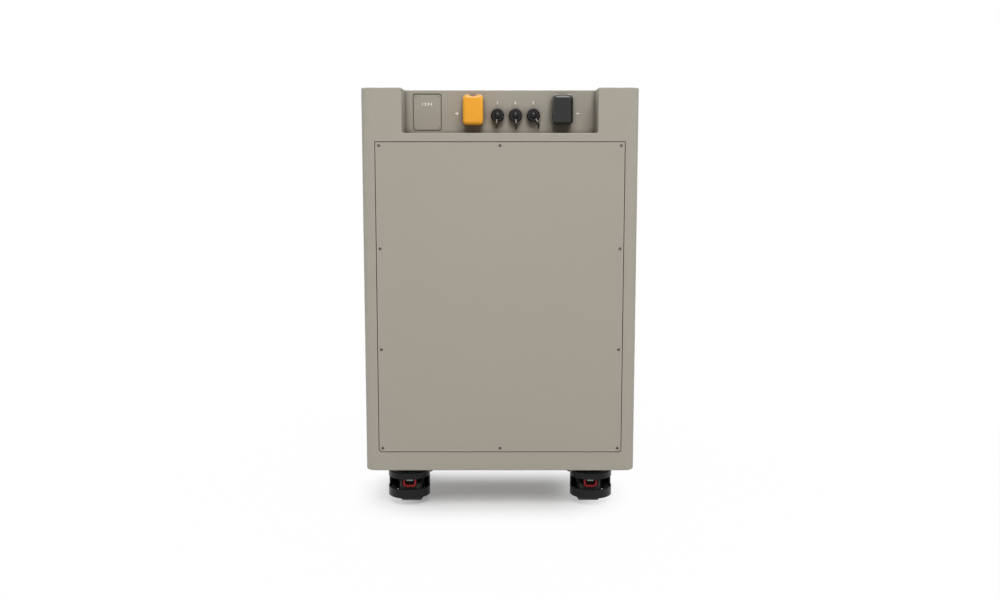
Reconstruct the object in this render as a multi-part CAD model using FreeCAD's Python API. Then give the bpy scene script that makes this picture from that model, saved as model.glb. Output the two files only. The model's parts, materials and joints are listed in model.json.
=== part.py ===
import FreeCAD, Part
import math
import os

# A floor-standing home battery on four hooded swivel casters, seen from its service side.
# Millimetres. +Z is up, the floor is z = 0, the service side faces -Y, and the origin is
# under the middle of the body.

Vector = FreeCAD.Vector
X_AXIS = Vector(1, 0, 0)
Y_AXIS = Vector(0, 1, 0)
Z_AXIS = Vector(0, 0, 1)
INTO_BODY = Vector(0, 1, 0)
OUT_OF_BODY = Vector(0, -1, 0)

# Body
BODY_WIDTH = 480.0
BODY_DEPTH = 270.0
BODY_HEIGHT = 675.0
BODY_CORNER_RADIUS = 18.0
BODY_EDGE_RADIUS = 1.8
SHEET = 2.0
GROUND_CLEARANCE = 72.0
SEAT_GAP = 0.3

# Connector bay, open at the top and towards the service side
BAY_WIDTH = 338.0
BAY_DEPTH = 71.0
BAY_DROP = 76.9
BAY_CORNER_RADIUS = 3.0

# Screwed service panel, flush in the service face on a recessed flange
PANEL_SIDE_MARGIN = 23.4
PANEL_TOP_MARGIN = 91.4
PANEL_BOTTOM_MARGIN = 33.7
PANEL_GAP = 1.2
PANEL_BOTTOM_RADIUS = 4.5
FLANGE_WIDTH = 16.0
GASKET_THICKNESS = 2.0
GASKET_WIDTH = 13.0
PANEL_SCREW_INSET = 7.2
PANEL_ROW_GAP_COUNT = 2
PANEL_SIDE_GAP_COUNT = 3
PANEL_SCREW_LENGTH = 9.0

# Countersunk M3 and M2.5 screws, as head and shank radius and head height
PANEL_SCREW_HEAD = 2.7
PANEL_SCREW_SHANK = 1.45
PANEL_SCREW_HEAD_HEIGHT = 1.5
COVER_SCREW_HEAD = 1.6
COVER_SCREW_SHANK = 0.9
COVER_SCREW_HEAD_HEIGHT = 0.8
COVER_SCREW_LENGTH = 3.8
SCREW_CLEARANCE = 0.15

# Address switch hatch in the back wall of the bay
HATCH_CENTRE_X = -129.6
HATCH_TOP_DROP = 6.0
HATCH_WIDTH = 51.4
HATCH_HEIGHT = 65.4
HATCH_RADIUS = 3.0
HATCH_GAP = 1.7
HATCH_FLANGE = 8.0
HATCH_SCREW_INSET = 5.0

# Switch block behind the hatch, on its little board
SWITCH_BOARD_MARGIN = 4.0
SWITCH_BOARD_THICKNESS = 1.6
SWITCH_SPACER_LENGTH = 7.0
SWITCH_SPACER_RADIUS = 2.2
SWITCH_BLOCK_WIDTH = 22.0
SWITCH_BLOCK_HEIGHT = 10.0
SWITCH_BLOCK_DEPTH = 6.5
SWITCH_KEYS = 8
SWITCH_KEY = 1.3

# Power sockets and their protective pull-off caps
POSITIVE_X = -47.3
NEGATIVE_X = 109.7
POWER_DROP = 36.0
SOCKET_FLANGE = 28.4
SOCKET_FLANGE_THICKNESS = 3.0
SOCKET_FLANGE_RADIUS = 4.0
SOCKET_BARREL_RADIUS = 9.5
SOCKET_BARREL_LENGTH = 26.0
SOCKET_BORE_RADIUS = 7.0
SOCKET_REAR_LENGTH = 14.0
SOCKET_SCREW_PITCH = 21.0
SOCKET_SCREW_HEAD = 2.4
SOCKET_SCREW_SHANK = 1.3
SOCKET_SCREW_HEAD_HEIGHT = 1.6
SOCKET_SCREW_LENGTH = 8.0
PIN_RADIUS = 4.0
PIN_TIP_INSET = 3.0
PIN_COLLAR_RADIUS = 6.5
PIN_COLLAR_THICKNESS = 4.0
PIN_STUD_LENGTH = 12.0
PIN_CLEARANCE = 0.1
PIN_NOSE_RADIUS = 2.4
PIN_NOSE_LENGTH = 2.0
CAP_WIDTH = 35.8
CAP_HEIGHT = 52.0
CAP_DEPTH = 42.0
CAP_WALL = 2.6
CAP_RIB = 2.0
CAP_RIB_SETBACK = 6.0
CAP_GRIP_FIT = 0.05
CAP_CORNER_RADIUS = 6.6
CAP_FACE_RADIUS = 6.0
CAP_NOTCH_RADIUS = 9.0
CAP_NOTCH_DEPTH = 3.2
CAP_SHOULDER_RADIUS = 3.0

# Signal sockets, their dust caps and the tethers
SIGNAL_MIDDLE_X = 27.4
SIGNAL_PITCH = 31.8
SIGNAL_DROP = 44.5
SIGNAL_FLANGE_RADIUS = 10.8
SIGNAL_FLANGE_THICKNESS = 2.0
SIGNAL_BARREL_RADIUS = 8.0
SIGNAL_BARREL_LENGTH = 11.0
SIGNAL_BORE_RADIUS = 6.2
SIGNAL_REAR_LENGTH = 12.0
SIGNAL_HOLE_CLEARANCE = 0.2
CONTACT_COUNT = 5
CONTACT_CIRCLE = 3.4
CONTACT_RADIUS = 0.6
CONTACT_REACH = 7.0
CONTACT_TAIL = 5.0
NUT_ACROSS_FLATS = 21.0
NUT_THICKNESS = 4.0
EYELET_THICKNESS = 0.8
EYELET_MARGIN = 1.0
DUST_CAP_RADIUS = 11.7
DUST_CAP_LENGTH = 12.6
DUST_CAP_EDGE = 1.6
DUST_CAP_FIT = 0.08
DUST_CAP_SCALLOPS = 10
DUST_CAP_SCALLOP_RADIUS = 1.5
DUST_CAP_SCALLOP_DEPTH = 0.6
DUST_CAP_SCALLOP_LENGTH = 7.8
KNOB_RADIUS = 4.75
KNOB_THICKNESS = 2.4
KNOB_EDGE = 1.0
KNOB_NECK_RADIUS = 2.6
TETHER_RADIUS = 0.8
LOOP_FIT = 0.2
LOOP_PLAY = 0.6
FERRULE_RADIUS = 1.1
FERRULE_START = 7.2
FERRULE_END = 14.0
CRIMP_RADIUS = 1.3
CRIMP_OUT = 1.6
CRIMP_START = 12.0
CRIMP_END = 14.8

# Battery module: stacks of prismatic cells between end plates
CELL_WIDTH = 174.0
CELL_DEPTH = 205.0
CELL_THICKNESS = 71.2
CELL_PITCH = 71.6
CELL_COLUMNS = 2
COLUMN_GAP = 2.0
CELL_POST_RADIUS = 9.0
CELL_POST_HEIGHT = 2.5
CELL_POST_SPREAD = 108.0
END_PLATE = 8.0
END_PLATE_REACH = 12.0
ROD_RADIUS = 3.0
ROD_OFFSET = 8.6
BUSBAR_WIDTH = 22.0
BUSBAR_THICKNESS = 2.5
MODULE_SIDE_CLEARANCE = 14.0
MODULE_ROOM_CLEARANCE = 15.0
MODULE_TOP_CLEARANCE = 2.0
BASE_THICKNESS = 3.0
BRACKET_LEG = 10.0
BRACKET_THICKNESS = 2.5
BRACKET_LENGTH = 24.0
BRACKET_SPREAD = 170.0

# Electronics beside the module
BOARD_THICKNESS = 1.6
BOARD_DEPTH = 170.0
BOARD_HEIGHT = 250.0
BOARD_BASE_HEIGHT = 240.0
BOARD_STANDOFF = 8.0
STANDOFF_RADIUS = 4.0
STANDOFF_INSET = 10.0
CONNECTORS = 4
CONNECTOR_WIDTH = 20.0
CONNECTOR_HEIGHT = 10.0
CONNECTOR_PITCH = 30.0
SINK_DEPTH = 120.0
SINK_HEIGHT = 90.0
SINK_BASE = 4.0
SINK_FIN = 2.0
SINK_FIN_HEIGHT = 10.0
SINK_FINS = 8
CONTACTOR_RADIUS = 22.0
CONTACTOR_HEIGHT = 58.0
CONTACTOR_FOOT = 50.0
CONTACTOR_FOOT_THICKNESS = 4.0
CONTACTOR_POST_RADIUS = 4.0
CONTACTOR_POST_HEIGHT = 10.0
CONTACTOR_POST_SPREAD = 26.0
CONTACTOR_FROM_CASTER = 52.0
FUSE_LENGTH = 78.0
FUSE_WIDTH = 30.0
FUSE_FOOT = 10.0
FUSE_RADIUS = 12.0
FUSE_BLADE = 2.0
FUSE_FROM_CONTACTOR = 7.0
SIDE_CLEARANCE = 34.0
LEAD_RADIUS = 4.5
LEAD_BEND_ROOM = 60.0
BEND_SHARE = 0.45

# Button and status light on the room side
BUTTON_DROP = 58.0
BUTTON_X = 0.0
BUTTON_RADIUS = 9.0
BUTTON_LENGTH = 9.0
BUTTON_TRAVEL = 2.0
BUTTON_FIT = 0.15
BEZEL_BARREL_RADIUS = 10.8
BEZEL_LENGTH = 16.0
LIGHT_DROP = 28.0
LIGHT_WIDTH = 96.0
LIGHT_HEIGHT = 5.0
LIGHT_FIT = 0.15
LIGHT_FLANGE = 4.0

# Hooded swivel casters
CASTER_SIDE_INSET = 73.0
CASTER_FACE_INSET = 55.0
WHEEL_INSET = 3.9
PEDAL_INSET = 2.5
PLATE_SIZE = 60.0
PLATE_RADIUS = 8.0
PLATE_THICKNESS = 3.0
PLATE_SCREW_PITCH = 42.0
PLATE_SCREW_RADIUS = 3.0
PLATE_SCREW_HEAD = 5.2
PLATE_SCREW_HEAD_HEIGHT = 2.4
RACE_INNER = 13.0
RACE_OUTER = 21.0
RACE_GAP = 0.3
STEM_RADIUS = 6.0
STEM_COLLAR_RADIUS = 9.0
STEM_COLLAR_THICKNESS = 3.0
RUNNING_FIT = 0.05
HOOD_RADIUS = 38.0
HOOD_WALL = 3.0
HOOD_TOP = 10.3
HOOD_TOP_THICKNESS = 3.2
HOOD_EDGE = 1.6
HOOD_LOW_EDGE = 0.5
HOOD_BOTTOM = 58.0
WINDOW_TOP = 22.1
WINDOW_BOTTOM = 41.8
WINDOW_HALF_ANGLE = 100.0
WHEEL_RADIUS = 23.0
WHEEL_WIDTH = 41.0
WHEEL_CHAMFER = 3.6
WHEEL_HUB_RADIUS = 9.0
WHEEL_RECESS_RADIUS = 14.0
WHEEL_RECESS = 6.0
TRAIL = 4.0
AXLE_RADIUS = 3.0
AXLE_HEAD_RADIUS = 5.0
AXLE_HEAD = 1.2
FORK_GAP = 0.6
FORK_THICKNESS = 2.0
FORK_HALF_WIDTH = 8.0
PIVOT_FORWARD = 26.0
PIVOT_DROP = 19.0
PIVOT_RADIUS = 2.0
EAR_RADIUS = 4.0
EAR_GAP = 0.5
EAR_THICKNESS = 3.0
PEDAL_WIDTH = 24.0
PEDAL_BAR = 3.4
PEDAL_THICKNESS = 4.5
PEDAL_BOTTOM = 38.3
PEDAL_RADIUS = 7.0
PEDAL_INNER_RADIUS = 3.6
BRAKE_SWING = 30.0
TONGUE_WIDTH = 11.5
TONGUE_THICKNESS = 1.6
TONGUE_TREAD_GAP = 0.4
FLAP_BOTTOM = 27.6

# Planes and places that follow from the sizes above
BODY_BOTTOM = GROUND_CLEARANCE
BODY_TOP = BODY_BOTTOM + BODY_HEIGHT
SERVICE_FACE = -BODY_DEPTH / 2
ROOM_FACE = BODY_DEPTH / 2
BAY_WALL = SERVICE_FACE + BAY_DEPTH
BAY_BACK = BAY_WALL + SHEET
BAY_FLOOR = BODY_TOP - BAY_DROP
BAY_UNDERSIDE = BAY_FLOOR - SHEET
INNER_HALF_WIDTH = BODY_WIDTH / 2 - SHEET
PANEL_HALF_WIDTH = BODY_WIDTH / 2 - PANEL_SIDE_MARGIN
PANEL_LOW = BODY_BOTTOM + PANEL_BOTTOM_MARGIN
PANEL_HIGH = BODY_TOP - PANEL_TOP_MARGIN
PANEL_MIDDLE = (PANEL_LOW + PANEL_HIGH) / 2
PANEL_HEIGHT = PANEL_HIGH - PANEL_LOW
FLANGE_FACE = SERVICE_FACE + SHEET + GASKET_THICKNESS
HATCH_HIGH = BODY_TOP - HATCH_TOP_DROP
HATCH_MIDDLE = HATCH_HIGH - HATCH_HEIGHT / 2
POWER_Z = BODY_TOP - POWER_DROP
SIGNAL_Z = BODY_TOP - SIGNAL_DROP
SIGNAL_XS = [SIGNAL_MIDDLE_X + SIGNAL_PITCH * step for step in (-1, 0, 1)]
DUST_CAP_FACE = BAY_WALL - EYELET_THICKNESS - SIGNAL_FLANGE_THICKNESS - SEAT_GAP - DUST_CAP_LENGTH
LOOP_Y = DUST_CAP_FACE - LOOP_PLAY - TETHER_RADIUS
BASE_TOP = BODY_BOTTOM + SHEET + BASE_THICKNESS
STACK_HEIGHT = BAY_UNDERSIDE - MODULE_TOP_CLEARANCE - BASE_TOP - 2 * END_PLATE
CELLS_PER_COLUMN = int(STACK_HEIGHT // CELL_PITCH)
MODULE_WIDTH = CELL_COLUMNS * CELL_WIDTH + (CELL_COLUMNS - 1) * COLUMN_GAP
MODULE_LEFT = -INNER_HALF_WIDTH + MODULE_SIDE_CLEARANCE
MODULE_RIGHT = MODULE_LEFT + MODULE_WIDTH
MODULE_ROOM_SIDE = ROOM_FACE - SHEET - MODULE_ROOM_CLEARANCE
MODULE_SERVICE_SIDE = MODULE_ROOM_SIDE - CELL_DEPTH
CELLS_LOW = BASE_TOP + END_PLATE
CELLS_HIGH = CELLS_LOW + CELLS_PER_COLUMN * CELL_PITCH
SIDE_MIDDLE = INNER_HALF_WIDTH - SIDE_CLEARANCE
BUTTON_Z = BODY_TOP - BUTTON_DROP
LIGHT_Z = BODY_TOP - LIGHT_DROP
CASTER_X = BODY_WIDTH / 2 - CASTER_SIDE_INSET
CASTER_Y = BODY_DEPTH / 2 - CASTER_FACE_INSET
AXLE_DROP = GROUND_CLEARANCE - WHEEL_RADIUS
FORK_INNER = WHEEL_WIDTH / 2 + FORK_GAP
FORK_OUTER = FORK_INNER + FORK_THICKNESS
CONTACTOR_Y = -CASTER_Y + CONTACTOR_FROM_CASTER
FUSE_Y = CONTACTOR_Y + CONTACTOR_FOOT / 2 + FUSE_FROM_CONTACTOR + FUSE_LENGTH / 2
CUT = 1.0
SMALL = 0.01


def box(x0, x1, y0, y1, z0, z1):
    """Block between two corners."""
    return Part.makeBox(x1 - x0, y1 - y0, z1 - z0, Vector(x0, y0, z0))


def rod(radius, start, direction, length):
    """Round bar from a point along a direction."""
    return Part.makeCylinder(radius, length, start, direction)


def fused(shapes):
    """One solid from several that touch or overlap."""
    first, *others = shapes
    return first.fuse(others).removeSplitter() if others else first


def drilled(shape, cutters):
    """The shape with every cutter taken away."""
    return shape.cut(cutters)


def rounded_outline(width, height, radii):
    """Rectangle on the XY plane about the origin, its corners rounded anticlockwise from low left."""
    half_w, half_h = width / 2, height / 2
    corners = [(-half_w, -half_h), (half_w, -half_h), (half_w, half_h), (-half_w, half_h)]
    headings = [Vector(0, -1, 0), Vector(1, 0, 0), Vector(0, 1, 0), Vector(-1, 0, 0)]
    ends = []
    edges = []
    for index, (corner_x, corner_y) in enumerate(corners):
        corner = Vector(corner_x, corner_y, 0)
        arriving, leaving, radius = headings[index], headings[(index + 1) % 4], radii[index]
        start, end = corner - arriving * radius, corner + leaving * radius
        if radius > 0:
            middle = corner + (leaving - arriving) * radius * (1 - math.sqrt(0.5))
            edges.append(Part.Arc(start, middle, end).toShape())
        ends.append((start, end))
    for index in range(4):
        start, end = ends[index][1], ends[(index + 1) % 4][0]
        if (end - start).Length > SMALL:
            edges.append(Part.makeLine(start, end))
    return Part.Wire(Part.__sortEdges__(edges))


def rounded_block(width, height, thickness, radii):
    """Plate of a rounded outline, standing on the XY plane."""
    return Part.Face(rounded_outline(width, height, radii)).extrude(Vector(0, 0, thickness))


def facing_service(shape, x, back_y, z):
    """Stand a flat-lying shape up in the XZ plane, its own +Z turned to the service side."""
    shape.rotate(Vector(0, 0, 0), X_AXIS, 90)
    shape.translate(Vector(x, back_y, z))
    return shape


def facing_room(shape, x, back_y, z):
    """Stand a flat-lying shape up in the XZ plane, its own +Z turned to the room side."""
    shape.rotate(Vector(0, 0, 0), X_AXIS, -90)
    shape.translate(Vector(x, back_y, z))
    return shape


def turned(profile, base, axis):
    """Solid of revolution: the profile lists (radius, distance along the axis) round the outline."""
    points = [Vector(radius, 0, distance) for radius, distance in profile]
    face = Part.Face(Part.makePolygon(points + points[:1]))
    solid = face.revolve(Vector(0, 0, 0), Z_AXIS, 360)
    solid.Placement = FreeCAD.Placement(base, FreeCAD.Rotation(Z_AXIS, axis))
    return solid


def tube_along(points, radius, bend_share):
    """Round bar along straight runs joined by tangent arcs, and the arcs' radii."""
    edges = []
    radii = []
    position = points[0]
    for before, corner, after in zip(points, points[1:], points[2:]):
        incoming = (corner - before).normalize()
        outgoing = (after - corner).normalize()
        run = min((corner - before).Length, (after - corner).Length)
        turn = incoming.getAngle(outgoing)
        setback = bend_share * run
        start, end = corner - incoming * setback, corner + outgoing * setback
        arc_radius = setback / math.tan(turn / 2)
        inward = (outgoing - incoming).normalize()
        middle = corner + inward * (arc_radius / math.cos(turn / 2) - arc_radius)
        edges.append(Part.makeLine(position, start))
        edges.append(Part.Arc(start, middle, end).toShape())
        radii.append(arc_radius)
        position = end
    edges.append(Part.makeLine(position, points[-1]))
    path = Part.Wire(edges)
    section = Part.Wire(Part.makeCircle(radius, points[0], points[1] - points[0]))
    return path.makePipeShell([section], True, False), radii


def save(node, shapes):
    """Write one sub-part, as one solid or as several separate ones."""
    solids = shapes if isinstance(shapes, list) else [shapes]
    shape = solids[0] if len(solids) == 1 else Part.makeCompound(solids)
    shape.exportStep(os.path.join("parts", node + ".step"))


def countersunk_screw(head, shank, head_height, length, face, axis):
    """Flat-headed screw, its head flush with a face."""
    profile = [(0, 0), (head, 0), (shank, head_height), (shank, length), (0, length)]
    return turned(profile, face, axis)


def countersink(head, shank, head_height, depth, face, axis):
    """Cutter for a countersunk screw, a clearance larger than the screw all round."""
    wide, narrow = head + SCREW_CLEARANCE, shank + SCREW_CLEARANCE
    profile = [(0, -CUT), (wide, -CUT), (wide, 0), (narrow, head_height), (narrow, depth), (0, depth)]
    return turned(profile, face, axis)


def pan_screw(head, head_height, shank, length, face, axis):
    """Screw whose domed head stands on a face."""
    shoulder = head - head_height / 2
    profile = [(0, -head_height), (shoulder, -head_height), (head, -head_height / 2), (head, 0)]
    profile += [(shank, 0), (shank, length), (0, length)]
    return turned(profile, face, axis)


def recessed_seat(width, height, radii, seat_depth, flange):
    """Folded seat for a flush panel, in a wall whose face is y = 0: the metal to add, and the cut."""
    full_depth = seat_depth + SHEET
    frame = rounded_block(width + 2 * SHEET, height + 2 * SHEET, full_depth - SHEET / 2,
                          [radius + SHEET for radius in radii])
    opening = rounded_block(width, height, seat_depth + CUT, radii)
    through = rounded_block(width - 2 * flange, height - 2 * flange, full_depth + 2 * CUT, radii)
    frame = facing_service(frame, 0, full_depth, 0)
    opening = facing_service(opening, 0, seat_depth, 0)
    return frame, opening.fuse(facing_service(through, 0, full_depth + CUT, 0))


def with_seat(shell, seat, x, face_y, z):
    """The shell with a recessed seat let into one of its walls."""
    place = Vector(x, face_y, z)
    frame, opening = seat
    return shell.fuse(frame.translated(place)).cut(opening.translated(place))


def panel_screw_points():
    """Screw places round the service panel: along the top and bottom rows and down both sides."""
    half_x = PANEL_HALF_WIDTH - PANEL_SCREW_INSET
    low, high = PANEL_LOW + PANEL_SCREW_INSET, PANEL_HIGH - PANEL_SCREW_INSET
    points = []
    for step in range(PANEL_ROW_GAP_COUNT + 1):
        x = -half_x + 2 * half_x * step / PANEL_ROW_GAP_COUNT
        points += [(x, low), (x, high)]
    for step in range(1, PANEL_SIDE_GAP_COUNT):
        z = low + (high - low) * step / PANEL_SIDE_GAP_COUNT
        points += [(-half_x, z), (half_x, z)]
    return points


def hatch_screw_points():
    """Screw places at the corners of the address hatch."""
    half_x = HATCH_WIDTH / 2 - HATCH_SCREW_INSET
    half_z = HATCH_HEIGHT / 2 - HATCH_SCREW_INSET
    return [(HATCH_CENTRE_X + sx * half_x, HATCH_MIDDLE + sz * half_z)
            for sx in (-1, 1) for sz in (-1, 1)]


def socket_screw_points(x):
    """Screw places at the corners of one power socket's flange."""
    half = SOCKET_SCREW_PITCH / 2
    return [(x + sx * half, POWER_Z + sz * half) for sx in (-1, 1) for sz in (-1, 1)]


def caster_places():
    """Each caster's number, centre and side: -1 on the service side, +1 on the room side."""
    places = [(-1, -1), (1, -1), (-1, 1), (1, 1)]
    return [(number + 1, sx * CASTER_X, sy * CASTER_Y, sx, sy)
            for number, (sx, sy) in enumerate(places)]


def caster_screw_points(x, y):
    """Screw places at the corners of one caster's plate."""
    half = PLATE_SCREW_PITCH / 2
    return [(x + sx * half, y + sy * half) for sx in (-1, 1) for sy in (-1, 1)]


def caster_holes(low, length, radius):
    """Upright cutters at every caster screw."""
    return [rod(radius, Vector(hole_x, hole_y, low), Z_AXIS, length)
            for _, x, y, _, _ in caster_places() for hole_x, hole_y in caster_screw_points(x, y)]


def bay_block(growth):
    """The bay as a block, grown into the body by a wall's thickness."""
    width, height = BAY_WIDTH + 2 * growth, BAY_DROP + growth + CUT
    radius = BAY_CORNER_RADIUS + growth
    block = rounded_block(width, height, BAY_DEPTH + growth + CUT, [radius, radius, 0, 0])
    return facing_service(block, 0, BAY_WALL + growth, BODY_TOP + CUT - height / 2)


def is_rim(edge):
    """True for an edge round the top or the bottom of the body, or round the mouth of the bay."""
    bounds = edge.BoundBox
    flat = bounds.ZLength < SMALL
    at_top = flat and abs(bounds.ZMax - BODY_TOP) < SMALL
    at_bottom = flat and abs(bounds.ZMax - BODY_BOTTOM) < SMALL
    on_face = bounds.YLength < SMALL and abs(bounds.YMax - SERVICE_FACE) < SMALL
    half_bay = BAY_WIDTH / 2 + SMALL
    in_bay = bounds.ZMin > BAY_FLOOR - SMALL and bounds.XMin > -half_bay and bounds.XMax < half_bay
    return at_top or at_bottom or (on_face and in_bay)


def enclosure_shell():
    """Folded and welded casing, with the connector bay let into its top."""
    outer = rounded_block(BODY_WIDTH, BODY_DEPTH, BODY_HEIGHT, [BODY_CORNER_RADIUS] * 4)
    outer.translate(Vector(0, 0, BODY_BOTTOM))
    outer = outer.cut(bay_block(0))
    outer = outer.makeFillet(BODY_EDGE_RADIUS, [edge for edge in outer.Edges if is_rim(edge)])
    cavity = rounded_block(BODY_WIDTH - 2 * SHEET, BODY_DEPTH - 2 * SHEET, BODY_HEIGHT - 2 * SHEET,
                           [BODY_CORNER_RADIUS - SHEET] * 4)
    cavity.translate(Vector(0, 0, BODY_BOTTOM + SHEET))
    shell = outer.cut(cavity.cut(bay_block(SHEET)))

    low_radius = PANEL_BOTTOM_RADIUS + PANEL_GAP
    seat = recessed_seat(2 * PANEL_HALF_WIDTH, PANEL_HEIGHT, [low_radius, low_radius, 0, 0],
                         SHEET + GASKET_THICKNESS, FLANGE_WIDTH)
    shell = with_seat(shell, seat, 0, SERVICE_FACE, PANEL_MIDDLE)
    seat = recessed_seat(HATCH_WIDTH, HATCH_HEIGHT, [HATCH_RADIUS + HATCH_GAP] * 4, SHEET, HATCH_FLANGE)
    shell = with_seat(shell, seat, HATCH_CENTRE_X, BAY_WALL, HATCH_MIDDLE)

    cutters = caster_holes(BODY_BOTTOM - CUT, SHEET + 2 * CUT, PLATE_SCREW_RADIUS + SCREW_CLEARANCE)
    for x, z in panel_screw_points():
        start = Vector(x, FLANGE_FACE - CUT, z)
        cutters.append(rod(PANEL_SCREW_SHANK + SCREW_CLEARANCE, start, Y_AXIS, SHEET + 2 * CUT))
    for x, z in hatch_screw_points():
        start = Vector(x, BAY_BACK - CUT, z)
        cutters.append(rod(COVER_SCREW_SHANK + SCREW_CLEARANCE, start, Y_AXIS, SHEET + 2 * CUT))
    wall_front = BAY_WALL - CUT
    for x in (POSITIVE_X, NEGATIVE_X):
        radius = SOCKET_BARREL_RADIUS + SIGNAL_HOLE_CLEARANCE
        cutters.append(rod(radius, Vector(x, wall_front, POWER_Z), Y_AXIS, SHEET + 2 * CUT))
        for hole_x, hole_z in socket_screw_points(x):
            start = Vector(hole_x, wall_front, hole_z)
            cutters.append(rod(SOCKET_SCREW_SHANK + SCREW_CLEARANCE, start, Y_AXIS, SHEET + 2 * CUT))
    for x in SIGNAL_XS:
        radius = SIGNAL_BARREL_RADIUS + SIGNAL_HOLE_CLEARANCE
        cutters.append(rod(radius, Vector(x, wall_front, SIGNAL_Z), Y_AXIS, SHEET + 2 * CUT))
    room_inside = Vector(BUTTON_X, ROOM_FACE - SHEET - CUT, BUTTON_Z)
    cutters.append(rod(BEZEL_BARREL_RADIUS + BUTTON_FIT, room_inside, Y_AXIS, SHEET + 2 * CUT))
    slot = rounded_block(LIGHT_WIDTH, LIGHT_HEIGHT, SHEET + 2 * CUT, [LIGHT_HEIGHT / 2] * 4)
    cutters.append(facing_room(slot, 0, ROOM_FACE - SHEET - CUT, LIGHT_Z))
    return drilled(shell, cutters)


def base_plate():
    """Chassis plate on the casing's floor, which takes the casters' load."""
    width = BODY_WIDTH - 2 * (SHEET + SEAT_GAP)
    depth = BODY_DEPTH - 2 * (SHEET + SEAT_GAP)
    plate = rounded_block(width, depth, BASE_THICKNESS, [BODY_CORNER_RADIUS - SHEET] * 4)
    plate.translate(Vector(0, 0, BODY_BOTTOM + SHEET))
    down = Vector(0, 0, -1)
    cutters = [countersink(PLATE_SCREW_HEAD, PLATE_SCREW_RADIUS, PLATE_SCREW_HEAD_HEIGHT,
                           BASE_THICKNESS + CUT, Vector(hole_x, hole_y, BASE_TOP), down)
               for _, x, y, _, _ in caster_places() for hole_x, hole_y in caster_screw_points(x, y)]
    return drilled(plate, cutters)


def service_panel():
    """Flush sheet panel with countersunk holes round its edge."""
    low_radii = [PANEL_BOTTOM_RADIUS] * 2 + [0, 0]
    width, height = 2 * (PANEL_HALF_WIDTH - PANEL_GAP), PANEL_HEIGHT - 2 * PANEL_GAP
    plate = rounded_block(width, height, SHEET, low_radii)
    plate = facing_service(plate, 0, SERVICE_FACE + SHEET, PANEL_MIDDLE)
    cutters = [countersink(PANEL_SCREW_HEAD, PANEL_SCREW_SHANK, PANEL_SCREW_HEAD_HEIGHT, SHEET + CUT,
                           Vector(x, SERVICE_FACE, z), INTO_BODY) for x, z in panel_screw_points()]
    return drilled(plate, cutters)


def panel_gasket():
    """Foam ring between the service panel and its flange."""
    width, height = 2 * (PANEL_HALF_WIDTH - PANEL_GAP), PANEL_HEIGHT - 2 * PANEL_GAP
    ring = rounded_block(width, height, GASKET_THICKNESS, [PANEL_BOTTOM_RADIUS] * 4)
    window = rounded_block(width - 2 * GASKET_WIDTH, height - 2 * GASKET_WIDTH, GASKET_THICKNESS,
                           [PANEL_BOTTOM_RADIUS] * 4)
    ring = facing_service(ring.cut(window), 0, FLANGE_FACE, PANEL_MIDDLE)
    cutters = [rod(PANEL_SCREW_SHANK + SCREW_CLEARANCE, Vector(x, SERVICE_FACE, z), Y_AXIS,
                   SHEET + GASKET_THICKNESS + CUT) for x, z in panel_screw_points()]
    return drilled(ring, cutters)


def panel_screws():
    """Countersunk screws of the service panel."""
    return [countersunk_screw(PANEL_SCREW_HEAD, PANEL_SCREW_SHANK, PANEL_SCREW_HEAD_HEIGHT,
                              PANEL_SCREW_LENGTH, Vector(x, SERVICE_FACE, z), INTO_BODY)
            for x, z in panel_screw_points()]


def address_cover():
    """Small flush hatch over the address switches."""
    plate = rounded_block(HATCH_WIDTH - 2 * HATCH_GAP, HATCH_HEIGHT - 2 * HATCH_GAP, SHEET,
                          [HATCH_RADIUS] * 4)
    plate = facing_service(plate, HATCH_CENTRE_X, BAY_BACK, HATCH_MIDDLE)
    cutters = [countersink(COVER_SCREW_HEAD, COVER_SCREW_SHANK, COVER_SCREW_HEAD_HEIGHT, SHEET + CUT,
                           Vector(x, BAY_WALL, z), INTO_BODY) for x, z in hatch_screw_points()]
    return drilled(plate, cutters)


def address_cover_screws():
    """Countersunk screws of the address hatch."""
    return [countersunk_screw(COVER_SCREW_HEAD, COVER_SCREW_SHANK, COVER_SCREW_HEAD_HEIGHT,
                              COVER_SCREW_LENGTH, Vector(x, BAY_WALL, z), INTO_BODY)
            for x, z in hatch_screw_points()]


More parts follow.
